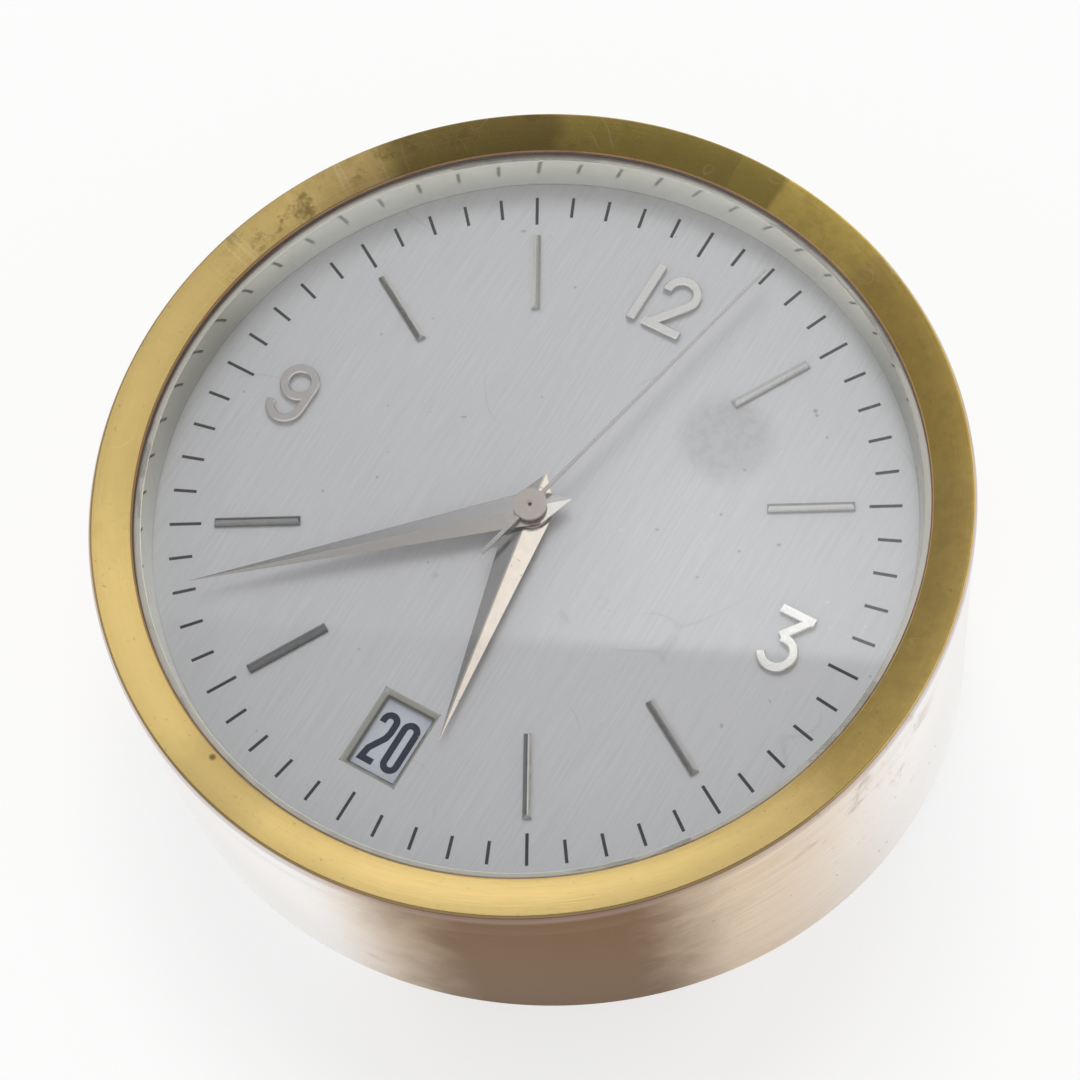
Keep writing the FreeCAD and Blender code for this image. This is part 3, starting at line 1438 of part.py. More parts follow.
def wire_run(points, radius):
    """A thin tube along straight runs, with a ball at each bend."""
    parts = []
    for first, second in zip(points, points[1:]):
        way = second - first
        parts.append(Part.makeCylinder(radius, way.Length, first, way))
    for bend in points[1:-1]:
        parts.append(Part.makeSphere(radius, bend))
    return united(parts)


for side in (-1, 1):
    wall = side * (hatch_length.number / 2 - s.contact_thickness / 2)
    start = Vector(wall, BATTERY.y - s.contact_width / 2 - 0.25,
                   cover_high.number + s.contact_height - s.lead_radius)
    under_board = Vector(side * 5.0, half_board.y - 2.0, board_low - s.lead_radius - s.fit_gap)
    end = DIAL_PLACE.multVec(BOARD + under_board)
    behind = BATTERY.y - s.battery_radius - s.lead_clearance
    corner = Vector(wall, behind, end.z - s.lead_drop)
    turn = Vector(side * s.lead_spread, behind, end.z - s.lead_drop)
    leads.append(wire_run([start, corner, turn, end], s.lead_radius))
plain("battery_leads", Part.Compound(leads), placed=False)

doc.recompute()

# Every feature has to be sound, and every sub-part a valid solid, before it is written
for item in doc.Objects:
    if "Invalid" in item.State or "Error" in item.State:
        raise RuntimeError("%s failed: %s" % (item.Name, item.State))
for item in nodes:
    if item.Shape.isNull() or not item.Shape.isValid():
        raise RuntimeError("%s has no valid shape" % item.Label)

os.makedirs("parts", exist_ok=True)
for item in nodes:
    item.Shape.exportStep("parts/%s.step" % item.Label)
    print("%-26s %9.2f mm3" % (item.Label, item.Shape.Volume))
print(len(nodes), "sub-parts")
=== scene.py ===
import json
import math

import bpy
import mathutils
import numpy as np
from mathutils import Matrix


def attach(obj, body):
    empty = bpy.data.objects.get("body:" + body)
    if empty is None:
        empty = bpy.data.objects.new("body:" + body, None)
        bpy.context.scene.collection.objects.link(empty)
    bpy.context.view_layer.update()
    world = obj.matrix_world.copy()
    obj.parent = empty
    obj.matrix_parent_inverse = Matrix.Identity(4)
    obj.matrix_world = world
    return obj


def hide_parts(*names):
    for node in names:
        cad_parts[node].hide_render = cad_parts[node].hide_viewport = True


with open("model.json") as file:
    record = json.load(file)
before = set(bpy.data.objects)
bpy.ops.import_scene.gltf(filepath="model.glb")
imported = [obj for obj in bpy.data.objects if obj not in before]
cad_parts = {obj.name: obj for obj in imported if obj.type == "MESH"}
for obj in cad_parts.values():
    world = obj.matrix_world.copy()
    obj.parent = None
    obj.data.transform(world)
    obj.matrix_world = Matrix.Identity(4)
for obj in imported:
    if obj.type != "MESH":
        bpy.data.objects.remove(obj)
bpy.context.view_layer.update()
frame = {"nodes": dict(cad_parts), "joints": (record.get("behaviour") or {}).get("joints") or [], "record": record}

# Case drum
# The body is a brass tube, turned, cut off on a slant at the foot, brushed round and
# lacquered. It is scratched where hands lift it and darker towards the top, just under the
# bezel. Its colour is brass round the back and painted near white elsewhere, a painted
# reflection of the pale floor, browning to a dark band from four to six o'clock, a painted
# reflection of its own shadow on the floor.

# It is drawn in the dial's own frame, in millimetres: x to three o'clock, y to twelve
# o'clock, z out of the dial. The dial's place on the desk comes from the hands' joint.
MM = 0.001
hands_joint = next(j for j in frame["joints"] if j["name"] == "second_hand_turn")
dial_middle = np.array(hands_joint["pos_m"])
dial_out = -np.array(hands_joint["axis"])
TILT = math.atan2(-dial_out[1], dial_out[2])
dial_axes = np.array([
    [1.0, 0.0, 0.0],
    [0.0, math.cos(TILT), math.sin(TILT)],
    [0.0, -math.sin(TILT), math.cos(TILT)],
])
BASE_DEPTH = dial_middle[2] / MM / math.cos(TILT)


def on_clock(points):
    """Dial-frame millimetres to metres on the desk: the dial's middle plus x, y and z
    times the dial's three axes."""
    return dial_middle + (np.asarray(points, float) * MM) @ dial_axes


def lattice(rows, columns, closed_rows, closed_columns):
    """Quads of a grid of points: each joins a point, the next in its row, and the two
    opposite them in the next row. A closed direction joins its last line to its first."""
    row = np.arange(rows if closed_rows else rows - 1)
    column = np.arange(columns if closed_columns else columns - 1)
    first, second = np.meshgrid(row, column, indexing="ij")
    below = (first + 1) % rows
    after = (second + 1) % columns
    corners = [
        first * columns + second,
        first * columns + after,
        below * columns + after,
        below * columns + second,
    ]
    return np.stack(corners, axis=-1).reshape(-1, 4)


def new_piece(name, points, faces, body, sharp=30.0):
    """A mesh piece from clock-frame points in metres, smooth but for its sharp edges."""
    mesh = bpy.data.meshes.new(name)
    mesh.from_pydata(np.asarray(points).tolist(), [], [list(map(int, f)) for f in faces])
    mesh.validate()
    mesh.shade_smooth()
    mesh.set_sharp_from_angle(angle=math.radians(sharp))
    piece = bpy.data.objects.new(name, mesh)
    bpy.context.scene.collection.objects.link(piece)
    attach(piece, body)
    return piece


EASE_STEPS = 4


def eased(corners, radius):
    """A closed outline whose corners are rounded: each corner gives way to a parabola
    from radius before it to radius after it, or to less where a side is short."""
    corners = np.asarray(corners, float)
    before = np.roll(corners, 1, axis=0) - corners
    after = np.roll(corners, -1, axis=0) - corners
    reach_back = np.minimum(radius, np.linalg.norm(before, axis=1) * 0.45)
    reach_on = np.minimum(radius, np.linalg.norm(after, axis=1) * 0.45)
    start = corners + before / np.linalg.norm(before, axis=1)[:, None] * reach_back[:, None]
    end = corners + after / np.linalg.norm(after, axis=1)[:, None] * reach_on[:, None]
    t = np.linspace(0, 1, EASE_STEPS)[None, :, None]
    curve = (1 - t) ** 2 * start[:, None] + 2 * t * (1 - t) * corners[:, None]
    curve = curve + t**2 * end[:, None]
    return curve.reshape(-1, corners.shape[1])


class Wire:
    """One shader value or colour, with the sums that the finishes use."""

    def __init__(self, finish, socket):
        self.finish = finish
        self.socket = socket

    def sum(self, operation, first, second=0.0):
        return self.finish.node("Math", {"operation": operation}, {0: first, 1: second})

    def __add__(self, other):
        return self.sum("ADD", self, other)

    __radd__ = __add__

    def __sub__(self, other):
        return self.sum("SUBTRACT", self, other)

    def __rsub__(self, other):
        return self.sum("SUBTRACT", other, self)

    def __mul__(self, other):
        return self.sum("MULTIPLY", self, other)

    __rmul__ = __mul__

    def __truediv__(self, other):
        return self.sum("DIVIDE", self, other)

    def __pow__(self, other):
        return self.sum("POWER", self, other)


class Finish:
    """A material whose constants sit on its shader and whose patterns come from nodes."""

    def __init__(self, tree, shader):
        self.tree = tree
        self.shader = shader

    def node(self, kind, settings=None, sockets=None, out=0):
        """Adds a node of a kind, sets it up, fills its sockets and gives one output."""
        made = self.tree.nodes.new("ShaderNode" + kind)
        for key, value in (settings or {}).items():
            setattr(made, key, value)
        for key, value in (sockets or {}).items():
            if isinstance(value, Wire):
                self.tree.links.new(value.socket, made.inputs[key])
            else:
                made.inputs[key].default_value = value
        return Wire(self, made.outputs[out])

    def set(self, **wires):
        """Links values to the shader's own sockets."""
        for socket, wire in wires.items():
            self.tree.links.new(wire.socket, self.shader.inputs[socket.replace("_", " ")])
        return self

    def blend(self, share, first, second):
        """The first colour where share is 0 and the second where it is 1."""
        return self.node("Mix", {"data_type": "RGBA"}, {0: share, 6: first, 7: second}, out=2)

    def fade(self, value, low, high):
        """None below low, one above high, and a soft step between."""
        settings = {"interpolation_type": "SMOOTHSTEP"}
        return self.node("MapRange", settings, {0: value, 1: low, 2: high, 3: 0.0, 4: 1.0})

    def noise(self, place, scale, detail=3.0, roughness=0.5, distortion=0.0):
        """Soft noise about one half, at a scale per unit of place."""
        sockets = {"Vector": place, "Scale": scale, "Detail": detail}
        sockets.update({"Roughness": roughness, "Distortion": distortion})
        return self.node("TexNoise", None, sockets)

    def combine(self, x, y, z):
        return self.node("CombineXYZ", None, {0: x, 1: y, 2: z})

    def bump(self, height, distance, strength=1.0):
        sockets = {"Strength": strength, "Distance": distance, "Height": height}
        return self.node("Bump", None, sockets)

    def place(self):
        """Object coordinates, in metres on the desk."""
        return self.node("TexCoord", None, None, out="Object")

    def on_dial(self):
        """Object coordinates turned into the dial's frame, in metres."""
        shift = tuple(-(dial_axes @ dial_middle))
        sockets = {"Vector": self.place(), "Location": shift, "Rotation": (-TILT, 0.0, 0.0)}
        return self.node("Mapping", {"vector_type": "POINT"}, sockets)

    def spot(self, x_mm, y_mm, radius_mm, soft_mm):
        """One within a radius of a place on the dial, falling to none over a soft edge."""
        x, y, z = self.split(self.on_dial())
        across = x - x_mm * MM
        along = y - y_mm * MM
        distance = (across * across + along * along) ** 0.5
        return 1 - self.fade(distance, (radius_mm - soft_mm) * MM, (radius_mm + soft_mm) * MM)

    def hairlines(self, scale, width, mask_scale, mask_low):
        """Thin wandering scratches: a noise's middle level, seen only in patches."""
        level = self.noise(self.on_dial(), scale, detail=1.0, distortion=0.6)
        near = level.sum("ABSOLUTE", level - 0.5)
        mask = self.noise(self.on_dial(), mask_scale, detail=1.0)
        patch = self.fade(mask, mask_low, mask_low + 0.08)
        return (1 - self.fade(near, 0.0, width)) * patch

    def split(self, vector):
        """A vector's three numbers."""
        node = self.node("SeparateXYZ", None, {0: vector}).socket.node
        return [Wire(self, node.outputs[axis]) for axis in range(3)]

    def polar(self):
        """Radius and height in metres, degrees clockwise from twelve o'clock, and the two
        parts of the direction from the middle."""
        x, y, z = self.split(self.on_dial())
        radius = (x * x + y * y) ** 0.5
        turn = x.sum("ARCTAN2", x, y) * (180 / math.pi) + 360.0
        return radius, z, turn.sum("MODULO", turn, 360.0), x / radius, y / radius


def finish_of(name, **constants):
    """A new material's finish, with constants set on its shader's own sockets."""
    material = bpy.data.materials.new(name)
    material.use_nodes = True
    finish = Finish(material.node_tree, material.node_tree.nodes["Principled BSDF"])
    finish.material = material
    for socket, value in constants.items():
        finish.shader.inputs[socket.replace("_", " ")].default_value = value
    return finish


def wear(piece, finish):
    """Puts a finish on a piece's only material slot."""
    piece.data.materials.clear()
    piece.data.materials.append(finish.material)


CASE_RADIUS = 60.0
CASE_WALL = 3.0
CASE_FRONT = 6.95
CASE_EASE = 0.3
EDGE_DEPTH = 6.0
AROUND = 288


def drum_surface(outline):
    """Each outline point is (radius, height, foot): carried round the axis, its height is
    counted from the dial where foot is 0 and from the desk's slanting plane where foot is
    1, which lies base depth plus tan(tilt) times y below the dial."""
    radius, height, foot = np.asarray(outline, float).T
    angle = np.linspace(0, 2 * math.pi, AROUND, endpoint=False)
    x = np.cos(angle)[:, None] * radius
    y = np.sin(angle)[:, None] * radius
    desk = -(BASE_DEPTH + math.tan(TILT) * y)
    z = height + foot * desk
    points = np.stack([x, y, z], axis=-1).reshape(-1, 3)
    return on_clock(points), lattice(AROUND, len(radius), True, True)


inner = CASE_RADIUS - CASE_WALL
upper_edge = eased([
    (inner, CASE_FRONT),
    (CASE_RADIUS - CASE_EASE, CASE_FRONT),
    (CASE_RADIUS, CASE_FRONT - CASE_EASE),
    (CASE_RADIUS, CASE_FRONT - EDGE_DEPTH),
    (inner, CASE_FRONT - EDGE_DEPTH),
], 0.12)[:4 * EASE_STEPS]
drum_outline = [(r, z, 0) for r, z in upper_edge]
drum_outline += [
    (CASE_RADIUS, 0.35, 1),
    (CASE_RADIUS - 0.05, 0.15, 1),
    (CASE_RADIUS - 0.2, 0.0, 1),
    (inner + 0.1, 0.0, 1),
    (inner, 0.1, 1),
]
drum = new_piece("case_drum_brushed", *drum_surface(drum_outline), "root", sharp=40)
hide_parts("case_drum")

drum_brass = finish_of("drum_brass", Specular_IOR_Level=0.0)
radius, height, degrees, across, along = drum_brass.polar()
brush_place = drum_brass.combine(across * 5.0, along * 5.0, height * 2600.0)
brush = drum_brass.noise(brush_place, 1.0, detail=4.0, roughness=0.65)
broad_place = drum_brass.combine(across * 2.2, along * 2.2, height * 420.0)
broad = drum_brass.noise(broad_place, 1.0, detail=2.0)
stain = drum_brass.noise(drum_brass.place(), 95.0, detail=5.0, roughness=0.62, distortion=0.4)
specks = drum_brass.noise(drum_brass.place(), 900.0, detail=2.0)
handled = drum_brass.fade(drum_brass.noise(drum_brass.place(), 28.0, detail=2.0), 0.5, 0.68)
scuffed = drum_brass.fade(degrees, 84.0, 94.0) - drum_brass.fade(degrees, 106.0, 118.0)
scuffed = scuffed * drum_brass.fade(height, -26 * MM, -14 * MM)
marks = drum_brass.fade(stain, 0.6, 0.72) * handled + drum_brass.fade(stain, 0.56, 0.66) * scuffed
pits = drum_brass.fade(specks, 0.7, 0.78) * handled
pits = pits + drum_brass.fade(specks, 0.64, 0.74) * scuffed * 0.35
# Darker towards the top, just under the bezel.
darker_under_bezel = drum_brass.fade(height, 4.9 * MM, 6.6 * MM)
wandering = degrees + (stain - 0.5) * 10.0
# Painted reflection: browner from three to six o'clock, and a dark band from four to six o'clock where the wall
# mirrors its own shadow on the floor.
shaded_front = drum_brass.fade(degrees, 88.0, 122.0) - drum_brass.fade(degrees, 164.0, 182.0)
shadow_reflection = drum_brass.fade(wandering, 120.0, 138.0) - drum_brass.fade(wandering, 158.0, 177.0)
# Painted reflection: near white on the front and sides, where the wall mirrors the pale floor; brass coloured
# round the back.
tone = drum_brass.blend(broad, (0.95, 0.92, 0.90, 1), (1.0, 0.98, 0.96, 1))
rear = 1 - drum_brass.fade(wandering, 40.0, 76.0) + drum_brass.fade(wandering, 212.0, 240.0)
tone = drum_brass.blend(rear * 0.9, tone, (0.67, 0.48, 0.23, 1))
tone = drum_brass.blend(shaded_front, tone, (0.70, 0.51, 0.31, 1))
tone = drum_brass.blend(drum_brass.fade(brush, 0.35, 0.7) * 0.35, tone, (0.98, 0.93, 0.88, 1))
tone = drum_brass.blend(shadow_reflection * 0.95, tone, (0.17, 0.085, 0.025, 1))
tone = drum_brass.blend(marks * 0.45, tone, (0.46, 0.35, 0.27, 1))
tone = drum_brass.blend(pits * 0.7, tone, (0.16, 0.11, 0.08, 1))
tone = drum_brass.blend(darker_under_bezel * 0.5, tone, (0.44, 0.33, 0.30, 1))
drum_brass.set(
    Base_Color=tone,
    Metallic=1 - shadow_reflection * 0.52 - shaded_front * 0.08,
    Roughness=0.24 + brush * 0.16 + marks * 0.15,
    Normal=drum_brass.bump(brush * 0.8 + broad * 0.4, 0.00004, 0.35),
)
wear(drum, drum_brass)

# Bezel
# A brass ring turned to a shallow funnel, pressed into the drum. Its tone changes in
# sectors, partly worn lacquer and partly painted reflection of the room, so it is olive and
# speckled at the far side and pale gold at the near side. Its pale radial streaks are a
# painted reflection, and its bore and the near side of its outer edge are painted shade.
BEZEL_EDGE = 59.7
BEZEL_TOP = 7.55
MOUTH_RADIUS = 54.0
MOUTH_TOP = 6.5
GLASS_FOOT = 5.45


def turned(name, outline, body):
    """A closed outline of (radius, height) pairs carried round the dial axis: each point
    goes to radius times cosine and sine of the angle, at its own height."""
    radius, height = np.asarray(outline, float).T
    angle = np.linspace(0, 2 * math.pi, AROUND, endpoint=False)
    x = np.cos(angle)[:, None] * radius
    y = np.sin(angle)[:, None] * radius
    z = np.broadcast_to(height, x.shape)
    points = np.stack([x, y, z], axis=-1).reshape(-1, 3)
    faces = lattice(AROUND, len(radius), True, True)[:, ::-1]
    return new_piece(name, on_clock(points), faces, body)


bezel = turned("bezel_turned", eased([
    (MOUTH_RADIUS, GLASS_FOOT),
    (inner - 0.03, GLASS_FOOT),
    (inner - 0.03, CASE_FRONT),
    (BEZEL_EDGE, CASE_FRONT),
    (BEZEL_EDGE, BEZEL_TOP - 0.22),
    (BEZEL_EDGE - 0.22, BEZEL_TOP),
    (MOUTH_RADIUS + 0.22, MOUTH_TOP + 0.02),
    (MOUTH_RADIUS, MOUTH_TOP - 0.2),
], 0.12), "root")
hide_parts("bezel_ring")

bezel_brass = finish_of("bezel_brass", Metallic=1.0)
radius, height, degrees, across, along = bezel_brass.polar()
ragged = bezel_brass.noise(bezel_brass.place(), 260.0, detail=5.0, roughness=0.7)
edge_wander = (ragged - 0.5) * 16.0
turned_place = bezel_brass.combine(across * 7.0, along * 7.0, radius * 3200.0)
turning = bezel_brass.noise(turned_place, 1.0, detail=3.0, roughness=0.6)
glint_rays_place = bezel_brass.combine(across * 70.0, along * 70.0, radius * 60.0)
glint_rays = bezel_brass.noise(glint_rays_place, 1.0, detail=3.0)
PALE_GOLD = (0.86, 0.63, 0.245, 1)
OLIVE = (0.48, 0.36, 0.105, 1)
BROWN_GOLD = (0.71, 0.50, 0.145, 1)
TAN = (0.70, 0.50, 0.165, 1)


def sector(start, end, soft):
    """One from the start angle to the end angle, clockwise in degrees, with soft edges."""
    rise = bezel_brass.fade(degrees + edge_wander * (soft / 10.0), start - soft, start + soft)
    fall = bezel_brass.fade(degrees + edge_wander * (soft / 10.0), end - soft, end + soft)
    return rise - fall


# Painted reflection, partly worn lacquer: the ring's tone sector by sector.
tone = bezel_brass.blend(sector(110, 174, 8), PALE_GOLD, (0.95, 0.70, 0.285, 1))
tone = bezel_brass.blend(sector(236, 292, 9), tone, (0.72, 0.53, 0.205, 1))
tone = bezel_brass.blend(sector(7, 24, 0.6), tone, (0.95, 0.70, 0.20, 1))
tone = bezel_brass.blend(sector(24, 60, 4), tone, BROWN_GOLD)
tone = bezel_brass.blend(sector(58, 108, 5), tone, TAN)
tone = bezel_brass.blend(sector(188, 202, 4), tone, (0.70, 0.52, 0.205, 1))
tone = bezel_brass.blend(sector(296, 309, 4), tone, (0.72, 0.52, 0.21, 1))
tone = bezel_brass.blend(sector(308, 336, 3), tone, (0.29, 0.215, 0.072, 1))
tone = bezel_brass.blend(sector(334, 363, 2), tone, OLIVE)
tone = bezel_brass.blend(sector(-2, 7.2, 0.5), tone, (0.56, 0.42, 0.12, 1))
tarnished = bezel_brass.fade(ragged, 0.5, 0.66) * (sector(286, 345, 9) + sector(345, 400, 9) * 0.4)
tone = bezel_brass.blend(tarnished * 0.6, tone, (0.20, 0.14, 0.05, 1))
# Painted reflection: pale radial streaks from nine to ten o'clock.
tone = bezel_brass.blend(bezel_brass.fade(glint_rays, 0.55, 0.75) * sector(268, 310, 5) * 0.4, tone,
                         (0.92, 0.76, 0.42, 1))
fine = bezel_brass.noise(bezel_brass.place(), 1500.0, detail=2.0)
tone = bezel_brass.blend(bezel_brass.fade(fine, 0.68, 0.75) * 0.35, tone, (0.30, 0.22, 0.10, 1))
mouth = 1 - bezel_brass.fade(radius, (MOUTH_RADIUS + 0.16) * MM, (MOUTH_RADIUS + 0.30) * MM)
# Painted shade: the bore is near black.
bore_shade = 1 - bezel_brass.fade(radius, (MOUTH_RADIUS + 0.01) * MM, (MOUTH_RADIUS + 0.06) * MM)
# Painted shade: a dark line along the outer edge on the near side.
rim_shade = bezel_brass.fade(radius, (BEZEL_EDGE - 0.30) * MM, (BEZEL_EDGE - 0.14) * MM)
rim_shade = rim_shade * sector(104, 322, 12)
scored = bezel_brass.hairlines(150.0, 0.005, 90.0, 0.50)
far_side = sector(292, 360, 12) + sector(0, 104, 12)
clouded = bezel_brass.noise(bezel_brass.place(), 420.0, detail=4.0, roughness=0.65)
tone = bezel_brass.blend(bezel_brass.fade(clouded, 0.35, 0.7) * (far_side * 0.2 + 0.03), tone,
                         (0.36, 0.25, 0.075, 1))
burn = bezel_brass.spot(-16.9, -52.4, 0.42, 0.25)
tone = bezel_brass.blend(scored * (far_side * 0.25 + 0.1), tone, (0.96, 0.82, 0.50, 1))
tone = bezel_brass.blend(burn * 0.8, tone, (0.14, 0.07, 0.03, 1))
tone = bezel_brass.blend(mouth * 0.9, tone, (0.36, 0.20, 0.12, 1))
tone = bezel_brass.blend(bore_shade * 0.9, tone, (0.13, 0.075, 0.04, 1))
tone = bezel_brass.blend(rim_shade * 0.85, tone, (0.16, 0.10, 0.05, 1))
bezel_brass.set(
    Base_Color=tone,
    Roughness=0.2 + turning * 0.08 + tarnished * 0.2 + mouth * 0.1,
    Normal=bezel_brass.bump(turning + ragged * 0.4, 0.00003, 0.3),
)
wear(bezel, bezel_brass)

# Sloping ring between the dial and the glass
# A gilt ring, polished, that mirrors the dial's edge. It is thin, and the bezel holds it
# down on the dial. Two sectors are painted darker, painted shade, and two spots paler,
# painted highlights.
FLANGE_FOOT = 52.5
FLANGE_TOP = 53.07
flange = turned("flange_polished", eased([
    (FLANGE_FOOT, 0.0),
    (inner - 0.15, 0.0),
    (inner - 0.15, GLASS_FOOT),
    (FLANGE_TOP, GLASS_FOOT),
], 0.05), "root")
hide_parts("flange_ring")
flange_gilt = finish_of("flange_gilt", Specular_IOR_Level=0.3)
radius, height, degrees, across, along = flange_gilt.polar()
lines = flange_gilt.noise(flange_gilt.combine(across * 8.0, along * 8.0, height * 3000.0), 1.0)
tone = flange_gilt.blend(flange_gilt.fade(height, 0.3 * MM, 4.0 * MM),
                         (0.93, 0.93, 0.84, 1), (0.98, 0.97, 0.84, 1))
# Painted shade: darker from one to four o'clock and from eight to half past nine.
shaded_sectors = flange_gilt.fade(degrees, 24.0, 42.0) - flange_gilt.fade(degrees, 96.0, 130.0)
shaded_sectors = shaded_sectors + flange_gilt.fade(degrees, 230.0, 262.0) - flange_gilt.fade(degrees, 272.0, 286.0)
far_side = flange_gilt.fade(degrees, 274.0, 300.0) + 1 - flange_gilt.fade(degrees, 14.0, 34.0)
tone = flange_gilt.blend(shaded_sectors * 0.75, tone, (0.50, 0.485, 0.39, 1))
lip = flange_gilt.fade(radius, (FLANGE_TOP + 0.02) * MM, (FLANGE_TOP + 0.10) * MM)
# Painted highlights: paler at ten and at twelve o'clock.
for bright in (300.0, 0.0):
    away = degrees.sum("PINGPONG", degrees + (180.0 - bright), 180.0)
    painted_highlight = flange_gilt.fade(away, 166.0, 176.0) * 0.5
    tone = flange_gilt.blend(painted_highlight, tone, (1.0, 1.0, 0.93, 1))
    far_side = far_side + painted_highlight
tone = flange_gilt.blend(lip, tone, (0.64, 0.61, 0.54, 1))
foot = 1 - flange_gilt.fade(height, 0.05 * MM, 0.14 * MM)
tone = flange_gilt.blend(foot * 0.7, tone, (0.22, 0.21, 0.18, 1))
flange_gilt.set(
    Base_Color=tone,
    Metallic=0.88 - far_side * 0.2,
    Roughness=0.05 + lines * 0.06 + lip * 0.22,
)
wear(flange, flange_gilt)

# Glass
# A flat disc cemented in the bezel, with a little dust and a few hairline scratches.
glass = finish_of("flat_glass", Metallic=1.0, Base_Color=(0.96, 0.98, 0.97, 1))
mirror = glass.node("Fresnel", None, {"IOR": 1.5})
dust = glass.fade(glass.noise(glass.place(), 1400.0, detail=1.0), 0.73, 0.78)
smear = glass.fade(glass.noise(glass.place(), 30.0, detail=4.0), 0.45, 0.8)
behind = glass.node("NewGeometry", None, None, out="Backfacing")
glass.set(Alpha=mirror * 2.2 * (1 - behind) + dust * 0.10 + smear * 0.006,
          Roughness=0.02 + smear * 0.05)


def dress(finish, *names):
    """Puts a finish on CAD nodes, by name."""
    for name in names:
        wear(frame["nodes"][name], finish)


dress(glass, "crystal")

# Dial
# A thin silvered disc, brushed from twelve to six. The lacquer has a worn round patch
# between one and two, faint spots, and a few stray hairs and pits.
dial_silver = finish_of("silvered_dial", Metallic=0.55, Specular_IOR_Level=0.5)
place = dial_silver.on_dial()
x, y, z = dial_silver.split(place)
brush_place = dial_silver.combine(x * 2600.0, y * 90.0, 0.0)
brush = dial_silver.noise(brush_place, 1.0, detail=4.0, roughness=0.7)
brushed = dial_silver.fade(brush, 0.22, 0.78)
cloud = dial_silver.noise(place, 38.0, detail=3.0)
pits = dial_silver.fade(dial_silver.noise(place, 520.0, detail=1.0), 0.76, 0.80)
worn_patch = dial_silver.spot(17.5, 22.8, 6.1, 2.0)
mottled = dial_silver.fade(dial_silver.noise(place, 620.0, detail=4.0, roughness=0.7), 0.40, 0.62)
tone = dial_silver.blend(brushed, (0.655, 0.66, 0.685, 1), (0.745, 0.75, 0.775, 1))
tone = dial_silver.blend(dial_silver.fade(cloud, 0.4, 0.75) * 0.25, tone, (0.70, 0.70, 0.71, 1))
tone = dial_silver.blend(worn_patch * (0.55 + mottled * 0.45), tone, (0.585, 0.587, 0.598, 1))
FAINT_SPOTS = [
    (11.6, -10.9, 1.0, 0.45),
    (14.9, -6.6, 0.9, 0.40),
    (17.6, -10.2, 0.8, 0.35),
    (-7.1, -14.0, 0.5, 0.6),
]
for x_mm, y_mm, size_mm, share in FAINT_SPOTS:
    faint = dial_silver.spot(x_mm, y_mm, size_mm, size_mm * 0.6) * mottled
    tone = dial_silver.blend(faint * share, tone, (0.50, 0.50, 0.49, 1))
tone = dial_silver.blend(pits * 0.5, tone, (0.33, 0.31, 0.30, 1))
fine_lines = dial_silver.hairlines(42.0, 0.006, 55.0, 0.55)
tone = dial_silver.blend(fine_lines * 0.22, tone, (0.42, 0.42, 0.43, 1))
fleck = dial_silver.spot(26.3, 32.2, 0.32, 0.1) + dial_silver.spot(26.8, 31.7, 0.24, 0.1)
tone = dial_silver.blend(fleck * 0.7, tone, (0.36, 0.34, 0.32, 1))
dial_silver.set(
    Base_Color=tone,
    Roughness=0.38 + brushed * 0.08 + worn_patch * 0.08,
    Normal=dial_silver.bump(brushed, 0.00002, 0.3),
)
dress(dial_silver, "dial_plate")

# Minute track
# Sixty strokes printed in black lacquer, longer at each fifth minute.
TRACK_OUTER = 50.26
TRACK_INNER = 47.03
TRACK_LONG = 45.82
STROKE_WIDTH = 0.45
PRINT_HEIGHT = 0.02
minute = np.arange(60)
turn = np.radians(90 - 6 * minute)
outward = np.stack([np.cos(turn), np.sin(turn)], axis=-1)
sideways = np.stack([-np.sin(turn), np.cos(turn)], axis=-1) * (STROKE_WIDTH / 2)
start = np.where(minute % 5 == 0, TRACK_LONG, TRACK_INNER)[:, None]
corners = np.stack([
    outward * start + sideways,
    outward * start - sideways,
    outward * TRACK_OUTER - sideways,
    outward * TRACK_OUTER + sideways,
], axis=1)
low = np.concatenate([corners, np.zeros((60, 4, 1))], axis=-1)
high = np.concatenate([corners, np.full((60, 4, 1), PRINT_HEIGHT)], axis=-1)
track_points = np.concatenate([low, high], axis=1).reshape(-1, 3)
box_faces = np.array([
    [3, 2, 1, 0], [4, 5, 6, 7], [0, 1, 5, 4], [1, 2, 6, 5], [2, 3, 7, 6], [3, 0, 4, 7],
])
track_faces = (np.arange(60)[:, None, None] * 8 + box_faces).reshape(-1, 4)
track = new_piece("minute_track", on_clock(track_points), track_faces, "root")
lacquer = finish_of("black_lacquer", Specular_IOR_Level=0.4)
worn = lacquer.noise(lacquer.place(), 2600.0, detail=3.0)
lacquer.set(
    Base_Color=lacquer.blend(worn, (0.012, 0.012, 0.016, 1), (0.05, 0.05, 0.06, 1)),
    Roughness=0.35 + worn * 0.2,
)
wear(track, lacquer)

# Date window frame
# A nickel frame pressed into the dial: four polished slopes lead down to the date ring.
# The slopes are painted dark low down, painted shade in the recess.
WINDOW_MIDDLE = -37.0
WINDOW_HALF = np.array([3.5, 5.15])
SLOPE = 0.72
WINDOW_DEPTH = 1.05
PER_CORNER = 7


def window_loop(grow, corner, height):
    """A rectangle round the window, grown by a margin, with corners of a radius: each
    corner is a quarter circle about a point that radius in from both sides."""
    half = WINDOW_HALF + grow
    quarter = np.linspace(0, math.pi / 2, PER_CORNER)
    sides = np.array([[1, 1], [-1, 1], [-1, -1], [1, -1]])
    angle = quarter[None, :] + np.arange(4)[:, None] * math.pi / 2
    centre = sides[:, None, :] * (half - corner)
    points = centre + corner * np.stack([np.cos(angle), np.sin(angle)], axis=-1)
    points = points.reshape(-1, 2) + [0, WINDOW_MIDDLE]
    return np.concatenate([points, np.full((len(points), 1), height)], axis=-1)


